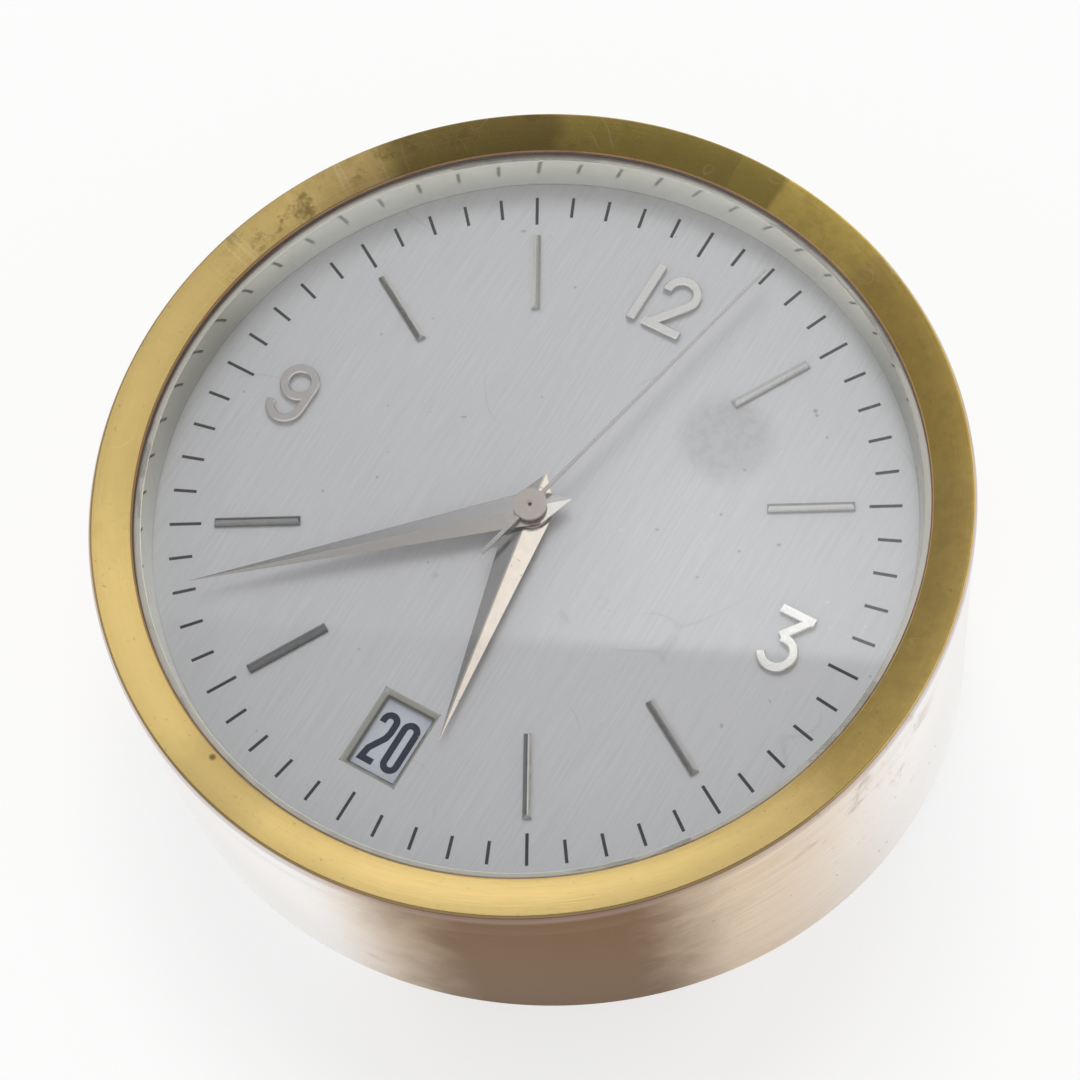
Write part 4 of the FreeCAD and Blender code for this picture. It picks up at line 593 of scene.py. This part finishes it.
frame_loops = [
    window_loop(SLOPE + 0.10, 0.34, 0.004),
    window_loop(SLOPE + 0.08, 0.33, 0.03),
    window_loop(SLOPE - 0.02, 0.30, 0.03),
    window_loop(SLOPE - 0.10, 0.28, -0.04),
    window_loop(0.06, 0.16, -WINDOW_DEPTH + 0.06),
    window_loop(0.0, 0.15, -WINDOW_DEPTH),
    window_loop(0.0, 0.15, -WINDOW_DEPTH - 0.09),
    window_loop(SLOPE - 0.02, 0.28, -WINDOW_DEPTH - 0.09),
    window_loop(SLOPE - 0.02, 0.28, -0.3),
]
frame_points = np.concatenate(frame_loops)
window = new_piece("date_window_bevelled", on_clock(frame_points),
                   lattice(len(frame_loops), 4 * PER_CORNER, True, True), "root")
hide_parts("date_window_frame")
window_nickel = finish_of("window_nickel", Metallic=0.75)
rubbed = window_nickel.noise(window_nickel.place(), 240.0, detail=2.0)
x, y, z = window_nickel.split(window_nickel.on_dial())
# Painted shade: dark low down on the slopes.
recess_shade = 1 - window_nickel.fade(z, -0.85 * MM, -0.62 * MM)
tone = window_nickel.blend(rubbed, (0.54, 0.54, 0.50, 1), (0.57, 0.57, 0.53, 1))
tone = window_nickel.blend(recess_shade * 0.8, tone, (0.14, 0.13, 0.11, 1))
window_nickel.set(Base_Color=tone, Roughness=0.32 + rubbed * 0.04)
wear(window, window_nickel)

# Date ring
# A white lacquered disc with its thirty-one numbers printed in near-black blue, tall and
# narrow, the tops of the figures towards the middle of the dial.
ring_white = finish_of("ring_lacquer", Specular_IOR_Level=0.45)
grain = ring_white.noise(ring_white.place(), 1200.0, detail=3.0)
ring_white.set(
    Base_Color=ring_white.blend(grain, (0.50, 0.535, 0.60, 1), (0.57, 0.60, 0.665, 1)),
    Roughness=0.42 + grain * 0.12,
)
dress(ring_white, "date_ring")

FIGURE_TALL = 7.9
FIGURE_WIDE = 2.75
FIGURE_STROKE = 0.92
FIGURE_STEP = 3.15
FIGURE_RADIUS = 37.3
RING_TOP = -1.45
SHOWN_DATE = 20
DATES = 31
side = (FIGURE_WIDE - FIGURE_STROKE) / 2
head = (FIGURE_TALL - FIGURE_STROKE) / 2


def arc(x, y, radius, start, end, steps=10):
    """Points round a centre, from a start angle to an end angle in degrees."""
    angle = np.radians(np.linspace(start, end, steps))
    return np.stack([x + radius * np.cos(angle), y + radius * np.sin(angle)], axis=-1)


def path(*parts):
    """Arcs and points end to end, with a point that repeats the last one left out."""
    line = np.concatenate([np.atleast_2d(np.asarray(p, float)) for p in parts])
    apart = np.linalg.norm(np.diff(line, axis=0), axis=1) > 1e-6
    return line[np.concatenate([[True], apart])]


shoulder = head - side
FIGURES = {
    0: [path(arc(0, shoulder, side, 0, 180), arc(0, -shoulder, side, 180, 360), (side, shoulder))],
    1: [path((-side * 0.7, head - 1.5), (side * 0.25, head), (side * 0.25, -head))],
    2: [path((-side, shoulder - 0.5), arc(0, shoulder, side, 180, 0), (side, 1.3),
             (side * 0.8, 0.3), (-side * 0.75, -head + 1.5), (-side, -head), (side, -head))],
    3: [path((-side, shoulder - 0.4), arc(0, shoulder, side, 180, 0),
             arc(0, side, side, 0, -80, 6), arc(0, -side, side, 80, 0, 6),
             arc(0, -shoulder, side, 0, -180), (-side, -shoulder + 0.4))],
    4: [path((side * 0.45, -head), (side * 0.45, head), (-side, -head + 2.1),
             (side * 1.15, -head + 2.1))],
    5: [path((side, head), (-side, head), (-side, 0.35), arc(0, 0.1, side, 150, 0, 8),
             arc(0, -shoulder, side, 0, -180), (-side, -shoulder + 0.4))],
    6: [path((side, shoulder - 0.4), arc(0, shoulder, side, 0, 180),
             arc(0, -shoulder, side, 180, 360), arc(0, -0.35, side, 0, 180))],
    7: [path((-side, head), (side, head), (side * 0.7, head - 2.4), (-side * 0.35, -head))],
    8: [path(arc(0, shoulder, side, 0, 180), arc(0, side, side, 180, 270, 6),
             arc(0, -side, side, 90, 0, 6), arc(0, -shoulder, side, 0, -180),
             arc(0, -side, side, 180, 90, 6), arc(0, side, side, -90, 0, 6), (side, shoulder))],
    9: [path((-side, -shoulder + 0.4), arc(0, -shoulder, side, 180, 360),
             arc(0, shoulder, side, 0, 180), arc(0, 0.35, side, 180, 360))],
}


def stroke(line, width, low, high, chamfer=0.0):
    """A flat bar of a width along a line: the line's normals at each point, lengthened at
    corners to keep the width, carry a section of upright sides, sloping shoulders of the
    chamfer's size and a flat top. Its two ends are closed."""
    ahead = np.diff(line, axis=0)
    ahead = ahead / np.linalg.norm(ahead, axis=1)[:, None]
    into = np.concatenate([ahead[:1], ahead])
    out_of = np.concatenate([ahead, ahead[-1:]])
    middle = into + out_of
    middle = middle / np.linalg.norm(middle, axis=1)[:, None]
    stretch = np.minimum(1 / np.maximum((middle * into).sum(axis=1), 0.3), 1.8)
    normal = np.stack([-middle[:, 1], middle[:, 0]], axis=-1) * stretch[:, None]
    half = width / 2
    section = [
        (half, low),
        (half, high - chamfer),
        (half - chamfer, high),
        (chamfer - half, high),
        (-half, high - chamfer),
        (-half, low),
    ]
    if chamfer == 0:
        section = [(half, low), (half, high), (-half, high), (-half, low)]
    columns = []
    for offset, level in section:
        flat = line + normal * offset
        columns.append(np.concatenate([flat, np.full((len(line), 1), level)], axis=-1))
    points = np.stack(columns, axis=1).reshape(-1, 3)
    count = len(section)
    faces = [list(f) for f in lattice(len(line), count, False, True)]
    faces.append(list(range(count))[::-1])
    last = (len(line) - 1) * count
    faces.append([last + k for k in range(count)])
    return points, faces


def gather(parts):
    """Several meshes as one: their points in a row, their faces counted on."""
    points = []
    faces = []
    total = 0
    for part_points, part_faces in parts:
        points.append(part_points)
        faces += [[total + k for k in face] for face in part_faces]
        total += len(part_points)
    return np.concatenate(points), faces


printed = []
for date in range(1, DATES + 1):
    digits = [int(c) for c in str(date)]
    turn = math.radians((date - SHOWN_DATE) * 360.0 / DATES)
    spin = np.array([[math.cos(turn), math.sin(turn)], [-math.sin(turn), math.cos(turn)]])
    for place_in_row, digit in enumerate(digits):
        shift = (place_in_row - (len(digits) - 1) / 2) * FIGURE_STEP
        for line in FIGURES[digit]:
            points, faces = stroke(line, FIGURE_STROKE, RING_TOP, RING_TOP + PRINT_HEIGHT)
            points = points + [shift, -FIGURE_RADIUS, 0]
            points[:, :2] = points[:, :2] @ spin
            printed.append((points, faces))
points, faces = gather(printed)
numbers = new_piece("date_numbers", on_clock(points), faces, "date_ring")
date_ink = finish_of("date_ink", Specular_IOR_Level=0.35)
worn = date_ink.noise(date_ink.place(), 2200.0, detail=3.0)
date_ink.set(
    Base_Color=date_ink.blend(worn, (0.008, 0.010, 0.028, 1), (0.03, 0.035, 0.06, 1)),
    Roughness=0.45 + worn * 0.15,
)
wear(numbers, date_ink)

# Numerals 12, 3 and 9
# Flat figures of one stroke width, stamped from nickel sheet with eased edges, polished,
# and pinned to the dial. The 3 is painted paler, a painted highlight, and the 9 darker,
# painted shade.
NUMERAL_TALL = 9.45
NUMERAL_WIDE = 5.7
NUMERAL_STROKE = 1.3
NUMERAL_HEIGHT = 0.85
NUMERAL_CHAMFER = 0.14
NUMERAL_REACH = 42.0
ONE_GAP = 1.15
# Each stroke's top lies this much below the last, so that no two share a plane.
STROKE_DROP = 0.003
tall = NUMERAL_TALL / 2
wide = NUMERAL_WIDE / 2
bowl = wide - NUMERAL_STROKE / 2
lift = tall - wide
half_stroke = NUMERAL_STROKE / 2

leave = arc(0, lift, bowl, 188, -38, 26)
slant_foot = np.array([-wide + half_stroke * 1.25, -tall + half_stroke * 0.9])
TWO = [
    path(leave, slant_foot),
    path((-wide, -tall + half_stroke), (wide, -tall + half_stroke)),
]
waist = arc(0, -lift, bowl, 104, -155, 30)
THREE = [
    path((-wide * 0.86, tall - half_stroke), (wide - half_stroke * 0.55, tall - half_stroke)),
    path((wide - half_stroke * 1.3, tall - half_stroke * 1.1), waist[0] + [-0.25, 0.1]),
    waist,
]
NINE = [
    path(arc(0, -lift, bowl, 188, 360, 22), arc(0, lift, bowl, 0, 40, 6)),
    arc(0, lift, bowl, 22, 382, 46),
]
ONE = [path((0, -tall), (0, tall))]
one_half = (NUMERAL_STROKE + ONE_GAP + NUMERAL_WIDE) / 2
twelve_y = NUMERAL_REACH - tall
NUMERALS = {
    "numeral_12": [(ONE, half_stroke - one_half, twelve_y), (TWO, one_half - wide, twelve_y)],
    "numeral_3": [(THREE, NUMERAL_REACH - wide, 0.0)],
    "numeral_9": [(NINE, wide - NUMERAL_REACH, 0.0)],
}
nickel = finish_of("polished_nickel", Metallic=1.0)
hairlines = nickel.noise(nickel.on_dial(), 1100.0, detail=4.0, roughness=0.7)
cloudy = nickel.noise(nickel.place(), 160.0, detail=2.0)
x, y, z = nickel.split(nickel.on_dial())
# Painted highlight on the 3, towards three o'clock.
lit_side = nickel.fade(x, 24 * MM, 30 * MM)
tone = nickel.blend(cloudy, (0.74, 0.73, 0.71, 1), (0.84, 0.83, 0.81, 1))
tone = nickel.blend(lit_side, tone, (0.92, 0.905, 0.87, 1))
# Painted shade on the 9, towards nine o'clock.
tone = nickel.blend(1 - nickel.fade(x, -34 * MM, -28 * MM), tone, (0.74, 0.70, 0.68, 1))
nickel.set(
    Base_Color=tone,
    Roughness=0.15 + hairlines * 0.12 - lit_side * 0.07,
    Normal=nickel.bump(hairlines, 0.00002, 0.2),
)
for name, figures in NUMERALS.items():
    parts = []
    drop = 0.0
    for lines, x_shift, y_shift in figures:
        for line in lines:
            points, faces = stroke(
                line, NUMERAL_STROKE, 0.0, NUMERAL_HEIGHT - drop, NUMERAL_CHAMFER)
            parts.append((points + [x_shift, y_shift, 0], faces))
            drop += STROKE_DROP
    points, faces = gather(parts)
    piece = new_piece(name + "_stamped", on_clock(points), faces, "root", sharp=25)
    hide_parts(name)
    wear(piece, nickel)

# Hour bars
# Nickel bars with two polished slopes that meet in a ridge, and small slopes at the ends.
# Each slope's brightness is painted light and shade.
BAR_START = 32.0
BAR_LENGTH = 11.9
BAR_WIDTH = 1.25
BAR_HEIGHT = 0.95
BAR_SIDE = 0.4


def bar_points():
    """Five rectangles, each a little smaller and higher than the last: foot, side, eased
    shoulder, eased ridge and ridge line."""
    half = BAR_WIDTH / 2
    rings = [
        (0.0, half, 0.0),
        (0.0, half, BAR_SIDE - 0.04),
        (0.04, half - 0.04, BAR_SIDE + 0.02),
        (half * 0.5, 0.05, BAR_HEIGHT - 0.03),
        (half * 0.5 + 0.03, 0.006, BAR_HEIGHT),
    ]
    loops = []
    for end, width, level in rings:
        near = BAR_START + end
        far = BAR_START + BAR_LENGTH - end
        loops.append([(near, -width, level), (far, -width, level),
                      (far, width, level), (near, width, level)])
    return np.array(loops).reshape(-1, 3)


# Painted light and shade: how bright each slope is, the clockwise one, then the other.
BAR_SHADING = {
    1: (0.62, 0.80),
    2: (0.60, 0.42),
    4: (0.30, 0.92),
    5: (0.28, 0.98),
    7: (0.24, 0.18),
    8: (0.06, 0.27),
    10: (0.98, 0.27),
    11: (0.60, 1.0),
}
bar_faces = [list(f) for f in lattice(5, 4, False, True)] + [[3, 2, 1, 0], [16, 17, 18, 19]]
bar_nickel = finish_of("bar_nickel", Metallic=1.0)
slope_shading = bar_nickel.node("Attribute", {"attribute_name": "slope_shading"}, None, out="Fac")
dulling = bar_nickel.noise(bar_nickel.on_dial(), 900.0, detail=3.0)
tone = bar_nickel.blend(slope_shading + (dulling - 0.5) * 0.08,
                        (0.0, 0.0, 0.004, 1), (0.99, 0.985, 0.975, 1))
bar_nickel.set(Base_Color=tone, Roughness=0.16 + dulling * 0.12)
for hour, (clockwise, other) in BAR_SHADING.items():
    turn = math.radians(90 - 30 * hour)
    spin = np.array([[math.cos(turn), math.sin(turn)], [-math.sin(turn), math.cos(turn)]])
    points = bar_points()
    points[:, :2] = points[:, :2] @ spin
    piece = new_piece("hour_bar_%d_polished" % hour, on_clock(points), bar_faces, "root", sharp=15)
    face_shading = piece.data.attributes.new("slope_shading", "FLOAT", "FACE")
    ends = (clockwise + other) / 2
    for face, value in enumerate([clockwise, ends, other, ends] * 4 + [ends, ends]):
        face_shading.data[face].value = value
    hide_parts("hour_bar_%d" % hour)
    wear(piece, bar_nickel)

# Hands
# Hour and minute hands are nickel, pressed to two flat faces along a ridge and polished.
# Their two faces are painted in two tones, painted light and shade. The second hand is a
# thin needle on a flat round boss.
HOUR_CLOCK = 169.5
MINUTE_CLOCK = 228.3


def hand_finish(name, clock, ridge, clockwise, other):
    """Polished nickel whose two faces, either side of a line from the dial's middle at a
    clock angle, are painted in two tones, painted light and shade."""
    metal = finish_of(name, Metallic=1.0)
    turn = math.radians(clock)
    x, y, z = metal.split(metal.on_dial())
    aside = x * math.cos(turn) - y * math.sin(turn)
    streaks = metal.noise(metal.on_dial(), 700.0, detail=4.0, roughness=0.7)
    pitting = metal.fade(metal.noise(metal.place(), 1500.0, detail=2.0), 0.66, 0.74)
    over_ridge = metal.fade(aside, (ridge - 0.03) * MM, (ridge + 0.03) * MM)
    tone = metal.blend(over_ridge, other, clockwise)
    tone = metal.blend(streaks * 0.2, tone, (0.66, 0.63, 0.60, 1))
    tone = metal.blend(pitting * 0.3, tone, (0.40, 0.38, 0.36, 1))
    metal.set(
        Base_Color=tone,
        Roughness=0.12 + streaks * 0.10 + pitting * 0.1,
        Normal=metal.bump(streaks, 0.00002, 0.2),
    )
    return metal


# Painted light and shade: the clockwise face's tone, then the other's.
hour_nickel = hand_finish(
    "hour_hand_nickel", HOUR_CLOCK, 0.25, (0.56, 0.555, 0.56, 1), (0.97, 0.87, 0.76, 1))
dress(hour_nickel, "hour_hand")
minute_nickel = hand_finish(
    "minute_hand_nickel", MINUTE_CLOCK, 0.0, (0.42, 0.41, 0.415, 1), (1.0, 0.95, 0.90, 1))
dress(minute_nickel, "minute_hand")
needle = finish_of("needle_nickel", Metallic=1.0)
radius, height, degrees, across, along = needle.polar()
streaks = needle.noise(needle.on_dial(), 700.0, detail=4.0, roughness=0.7)
off_boss = needle.fade(radius, 3.2 * MM, 4.5 * MM)
tone = needle.blend(off_boss, (0.66, 0.59, 0.54, 1), (0.60, 0.60, 0.585, 1))
tone = needle.blend(streaks * 0.3, tone, (0.50, 0.46, 0.43, 1))
needle.set(Base_Color=tone, Roughness=0.16 + streaks * 0.12)
dress(needle, "second_hand")

# Seconds arbor
# Polished steel, its end turned flush with the boss and centre-drilled. The centre drill
# is painted near black, painted shade.
arbor_steel = finish_of("arbor_steel", Metallic=1.0)
radius, height, degrees, across, along = arbor_steel.polar()
# Painted shade: the centre drill is near black.
hole_shade = 1 - arbor_steel.fade(radius, 0.22 * MM, 0.36 * MM)
hole_shade = hole_shade * arbor_steel.fade(height, 1.0 * MM, 2.0 * MM)
rings = arbor_steel.noise(arbor_steel.combine(radius * 3000.0, 0.0, height * 300.0), 1.0)
tone = arbor_steel.blend(rings, (0.62, 0.58, 0.54, 1), (0.72, 0.68, 0.64, 1))
tone = arbor_steel.blend(hole_shade, tone, (0.03, 0.03, 0.03, 1))
arbor_steel.set(Base_Color=tone, Roughness=0.2 + rings * 0.1)

# Movement
# Grained brass plates and wheels, steel screws, arbors and springs, a copper winding.
works_brass = finish_of("works_brass", Metallic=1.0)
grain = works_brass.noise(works_brass.place(), 700.0, detail=4.0, roughness=0.65)
cloud = works_brass.noise(works_brass.place(), 60.0, detail=2.0)
works_brass.set(
    Base_Color=works_brass.blend(cloud, (0.66, 0.50, 0.22, 1), (0.80, 0.64, 0.34, 1)),
    Roughness=0.26 + grain * 0.18,
    Normal=works_brass.bump(grain, 0.00002, 0.3),
)
works_steel = finish_of("works_steel", Metallic=1.0)
grain = works_steel.noise(works_steel.place(), 900.0, detail=4.0, roughness=0.6)
works_steel.set(
    Base_Color=works_steel.blend(grain, (0.48, 0.49, 0.51, 1), (0.62, 0.63, 0.65, 1)),
    Roughness=0.22 + grain * 0.16,
)
copper = finish_of("copper_winding", Metallic=1.0)
windings = copper.node("TexWave", {"bands_direction": "Z"},
                       {"Vector": copper.on_dial(), "Scale": 1100.0, "Distortion": 0.3})
copper.set(
    Base_Color=copper.blend(windings, (0.34, 0.12, 0.05, 1), (0.78, 0.38, 0.20, 1)),
    Roughness=0.3 + windings * 0.1,
    Normal=copper.bump(windings, 0.00005, 0.6),
)
board_green = finish_of("circuit_board", Specular_IOR_Level=0.4)
mottle = board_green.noise(board_green.place(), 500.0, detail=5.0, roughness=0.7)
board_green.set(
    Base_Color=board_green.blend(mottle, (0.24, 0.13, 0.05, 1), (0.40, 0.24, 0.10, 1)),
    Roughness=0.45 + mottle * 0.15,
)
component_shell = finish_of("component_shell", Metallic=0.6)
mottle = component_shell.noise(component_shell.place(), 400.0, detail=3.0)
component_shell.set(
    Base_Color=component_shell.blend(mottle, (0.36, 0.38, 0.40, 1), (0.50, 0.52, 0.54, 1)),
    Roughness=0.32 + mottle * 0.15,
)
record_slots = {row["node"]: row["material_slot"] for row in frame["record"]["subparts"]}
for name, slot_name in record_slots.items():
    if slot_name == "movement_brass":
        dress(works_brass, name)
    elif slot_name == "steel":
        dress(works_steel, name)
dress(arbor_steel, "seconds_arbor")
dress(copper, "drive_coil")
dress(board_green, "circuit_board")
dress(component_shell, "board_components")

# Base
# The cover is pressed steel in black crackle lacquer, with a felt ring glued on, a hatch
# for the battery, three screws and a brass knob in a recess for setting the hands.
base_lacquer = finish_of("crackle_lacquer", Specular_IOR_Level=0.5)
crackle = base_lacquer.node("TexVoronoi", {"feature": "DISTANCE_TO_EDGE"},
                            {"Vector": base_lacquer.place(), "Scale": 900.0})
wrinkle = base_lacquer.fade(crackle, 0.0, 0.25)
base_lacquer.set(
    Base_Color=base_lacquer.blend(wrinkle, (0.010, 0.010, 0.011, 1), (0.035, 0.035, 0.037, 1)),
    Roughness=0.5 - wrinkle * 0.15,
    Normal=base_lacquer.bump(wrinkle, 0.00008, 0.6),
)
dress(base_lacquer, "base_cover", "battery_hatch")
felt = finish_of("green_felt", Roughness=0.95, Specular_IOR_Level=0.1)
fibres = felt.noise(felt.place(), 2600.0, detail=5.0, roughness=0.75, distortion=0.8)
tufts = felt.noise(felt.place(), 320.0, detail=3.0)
tone = felt.blend(fibres, (0.018, 0.050, 0.030, 1), (0.060, 0.125, 0.075, 1))
tone = felt.blend(felt.fade(tufts, 0.5, 0.8) * 0.5, tone, (0.10, 0.16, 0.11, 1))
felt.set(Base_Color=tone, Normal=felt.bump(fibres + tufts * 0.5, 0.0003, 0.8))
dress(felt, "felt_ring")
jacket = finish_of("battery_jacket", Metallic=0.4)
x, y, z = jacket.split(jacket.place())
band = jacket.fade(x, 0.008, 0.0085)
scuffs = jacket.noise(jacket.place(), 600.0, detail=4.0)
tone = jacket.blend(band, (0.04, 0.07, 0.16, 1), (0.62, 0.55, 0.40, 1))
tone = jacket.blend(scuffs * 0.2, tone, (0.5, 0.5, 0.5, 1))
jacket.set(Base_Color=tone, Roughness=0.3 + scuffs * 0.15)
dress(jacket, "battery")
tray_plastic = finish_of("tray_plastic", Specular_IOR_Level=0.45)
grain = tray_plastic.noise(tray_plastic.place(), 800.0, detail=3.0)
tray_plastic.set(
    Base_Color=tray_plastic.blend(grain, (0.60, 0.57, 0.48, 1), (0.70, 0.67, 0.58, 1)),
    Roughness=0.45 + grain * 0.1,
)
dress(tray_plastic, "battery_tray")
lead_cover = finish_of("lead_cover", Specular_IOR_Level=0.5)
grain = lead_cover.noise(lead_cover.place(), 900.0, detail=2.0)
lead_cover.set(
    Base_Color=lead_cover.blend(grain, (0.38, 0.03, 0.02, 1), (0.55, 0.06, 0.04, 1)),
    Roughness=0.4 + grain * 0.1,
)
dress(lead_cover, "battery_leads")

# Floor, lamps and camera
# A pale floor, a soft key lamp from the upper left, and a pale room with a window. The
# camera is fitted to the photograph.
FLOOR_SIZE = 6.0
FLOOR_LIFT = 0.7
MIRROR_LIFT = 0.9
floor_mesh = bpy.data.meshes.new("floor")
half_floor = FLOOR_SIZE / 2
floor_mesh.from_pydata(
    [(-half_floor, -half_floor, 0), (half_floor, -half_floor, 0),
     (half_floor, half_floor, 0), (-half_floor, half_floor, 0)], [], [(0, 1, 2, 3)])
floor = bpy.data.objects.new("floor", floor_mesh)
bpy.context.scene.collection.objects.link(floor)
floor_pale = finish_of("pale_floor", Roughness=0.9, Specular_IOR_Level=0.0,
                    Base_Color=(0.95, 0.95, 0.95, 1))
seen = floor_pale.node("LightPath", None, None, out="Is Camera Ray")
mirrored = floor_pale.node("LightPath", None, None, out="Is Glossy Ray")
passed = floor_pale.node("LightPath", None, None, out="Is Transmission Ray")
white = floor_pale.node("Emission", None, {"Color": (1, 1, 1, 1), "Strength": 1.0})
indirect = seen.sum("MAXIMUM", mirrored, passed)
lift = seen.sum("MAXIMUM", seen * FLOOR_LIFT, indirect * MIRROR_LIFT)
lifted = floor_pale.node("MixShader", None, {
    0: lift, 1: Wire(floor_pale, floor_pale.shader.outputs[0]), 2: white})
output = floor_pale.tree.nodes["Material Output"]
floor_pale.tree.links.new(lifted.socket, output.inputs["Surface"])
wear(floor, floor_pale)


def lamp(kind, name, place, aim, colour, **settings):
    """A lamp at a place, turned to shine at a point."""
    data = bpy.data.lights.new(name, kind)
    for key, value in settings.items():
        setattr(data, key, value)
    data.color = colour
    item = bpy.data.objects.new(name, data)
    bpy.context.scene.collection.objects.link(item)
    item.location = place
    towards = mathutils.Vector(aim) - mathutils.Vector(place)
    item.rotation_euler = towards.to_track_quat("-Z", "Y").to_euler()
    return item


KEY_DIRECTION = mathutils.Vector((-0.30, 0.42, 0.86))
key = lamp("SUN", "key_lamp", KEY_DIRECTION, (0, 0, 0), (1.0, 0.99, 0.975),
           energy=1.12, angle=math.radians(34))
key.visible_glossy = False

# The room is white near the floor and dim overhead, but for a soft window overhead and
# behind. Across and beyond are a direction's two slopes from straight up, to the right and
# away. The window's near edge is sharp, and shows as a faint line in the glass.
OVERHEAD = 0.28
FILL = 0.18
WINDOW_EDGE = (-0.262, 0.147, 0.44)
world = bpy.data.worlds.new("studio")
bpy.context.scene.world = world
world.use_nodes = True
room = Finish(world.node_tree, world.node_tree.nodes["Background"])
x, y, z = room.split(room.node("TexCoord", None, None, out="Generated"))
low = 1 - room.fade(z, 0.42, 0.72)
across = x / z
beyond = y / z
past_edge = beyond - (across - WINDOW_EDGE[0]) * WINDOW_EDGE[2] - WINDOW_EDGE[1]
core = room.fade(across, -0.33, -0.25) * (1 - room.fade(beyond, 0.19, 0.28) * 0.75)
window_tone = 0.02 + room.fade(across, -0.50, -0.38) * 0.24 + core * 0.95
top_share = room.fade(beyond, 0.30, 0.40)
top_tone = 1.0 - room.fade(across, -0.40, -0.28) * 0.40
window_tone = window_tone * (1 - top_share) + top_share * top_tone
window = room.fade(past_edge, -0.002, 0.004) * room.fade(across, -0.75, -0.60)
window = window * (1 - room.fade(across, -0.19, -0.14)) * (1 - room.fade(beyond, 0.50, 0.75))
skylight = room.fade(across, -0.19, -0.14) * (1 - room.fade(across, 0.06, 0.20))
skylight = skylight * room.fade(beyond, -0.02, 0.08) * (1 - room.fade(beyond, 0.45, 0.65))
sky_tone = 0.95 - room.fade(across, -0.15, -0.09) * 0.34
window = (window * window_tone + skylight * sky_tone) * room.fade(z, 0.70, 0.78)
shiny = room.node("LightPath", None, None, out="Is Glossy Ray")
strength = low * (1 - OVERHEAD) + OVERHEAD + window + (1 - shiny) * (1 - low) * FILL
room.shader.inputs["Color"].default_value = (1, 1, 1, 1)
room.set(Strength=strength)

# The eye's place is in the dial's frame, in millimetres. Its turn is measured from level
# and from straight behind the clock.
EYE = (121.604, -136.196, 379.195)
EYE_TURN = 31.256
EYE_DROP = 56.905
EYE_ROLL = -0.115
EYE_FIELD = 19.880
camera_data = bpy.data.cameras.new("eye")
camera_data.sensor_width = 36.0
camera_data.lens = 18.0 / math.tan(math.radians(EYE_FIELD / 2))
camera_data.clip_start = 0.01
camera = bpy.data.objects.new("eye", camera_data)
bpy.context.scene.collection.objects.link(camera)
turn = mathutils.Matrix.Rotation(math.radians(EYE_TURN), 4, "Z")
drop = mathutils.Matrix.Rotation(math.radians(90 - EYE_DROP), 4, "X")
roll = mathutils.Matrix.Rotation(math.radians(EYE_ROLL), 4, "Z")
camera.matrix_world = mathutils.Matrix.Translation(on_clock([EYE])[0]) @ turn @ drop @ roll
bpy.context.scene.camera = camera
bpy.context.scene.view_settings.view_transform = "Standard"
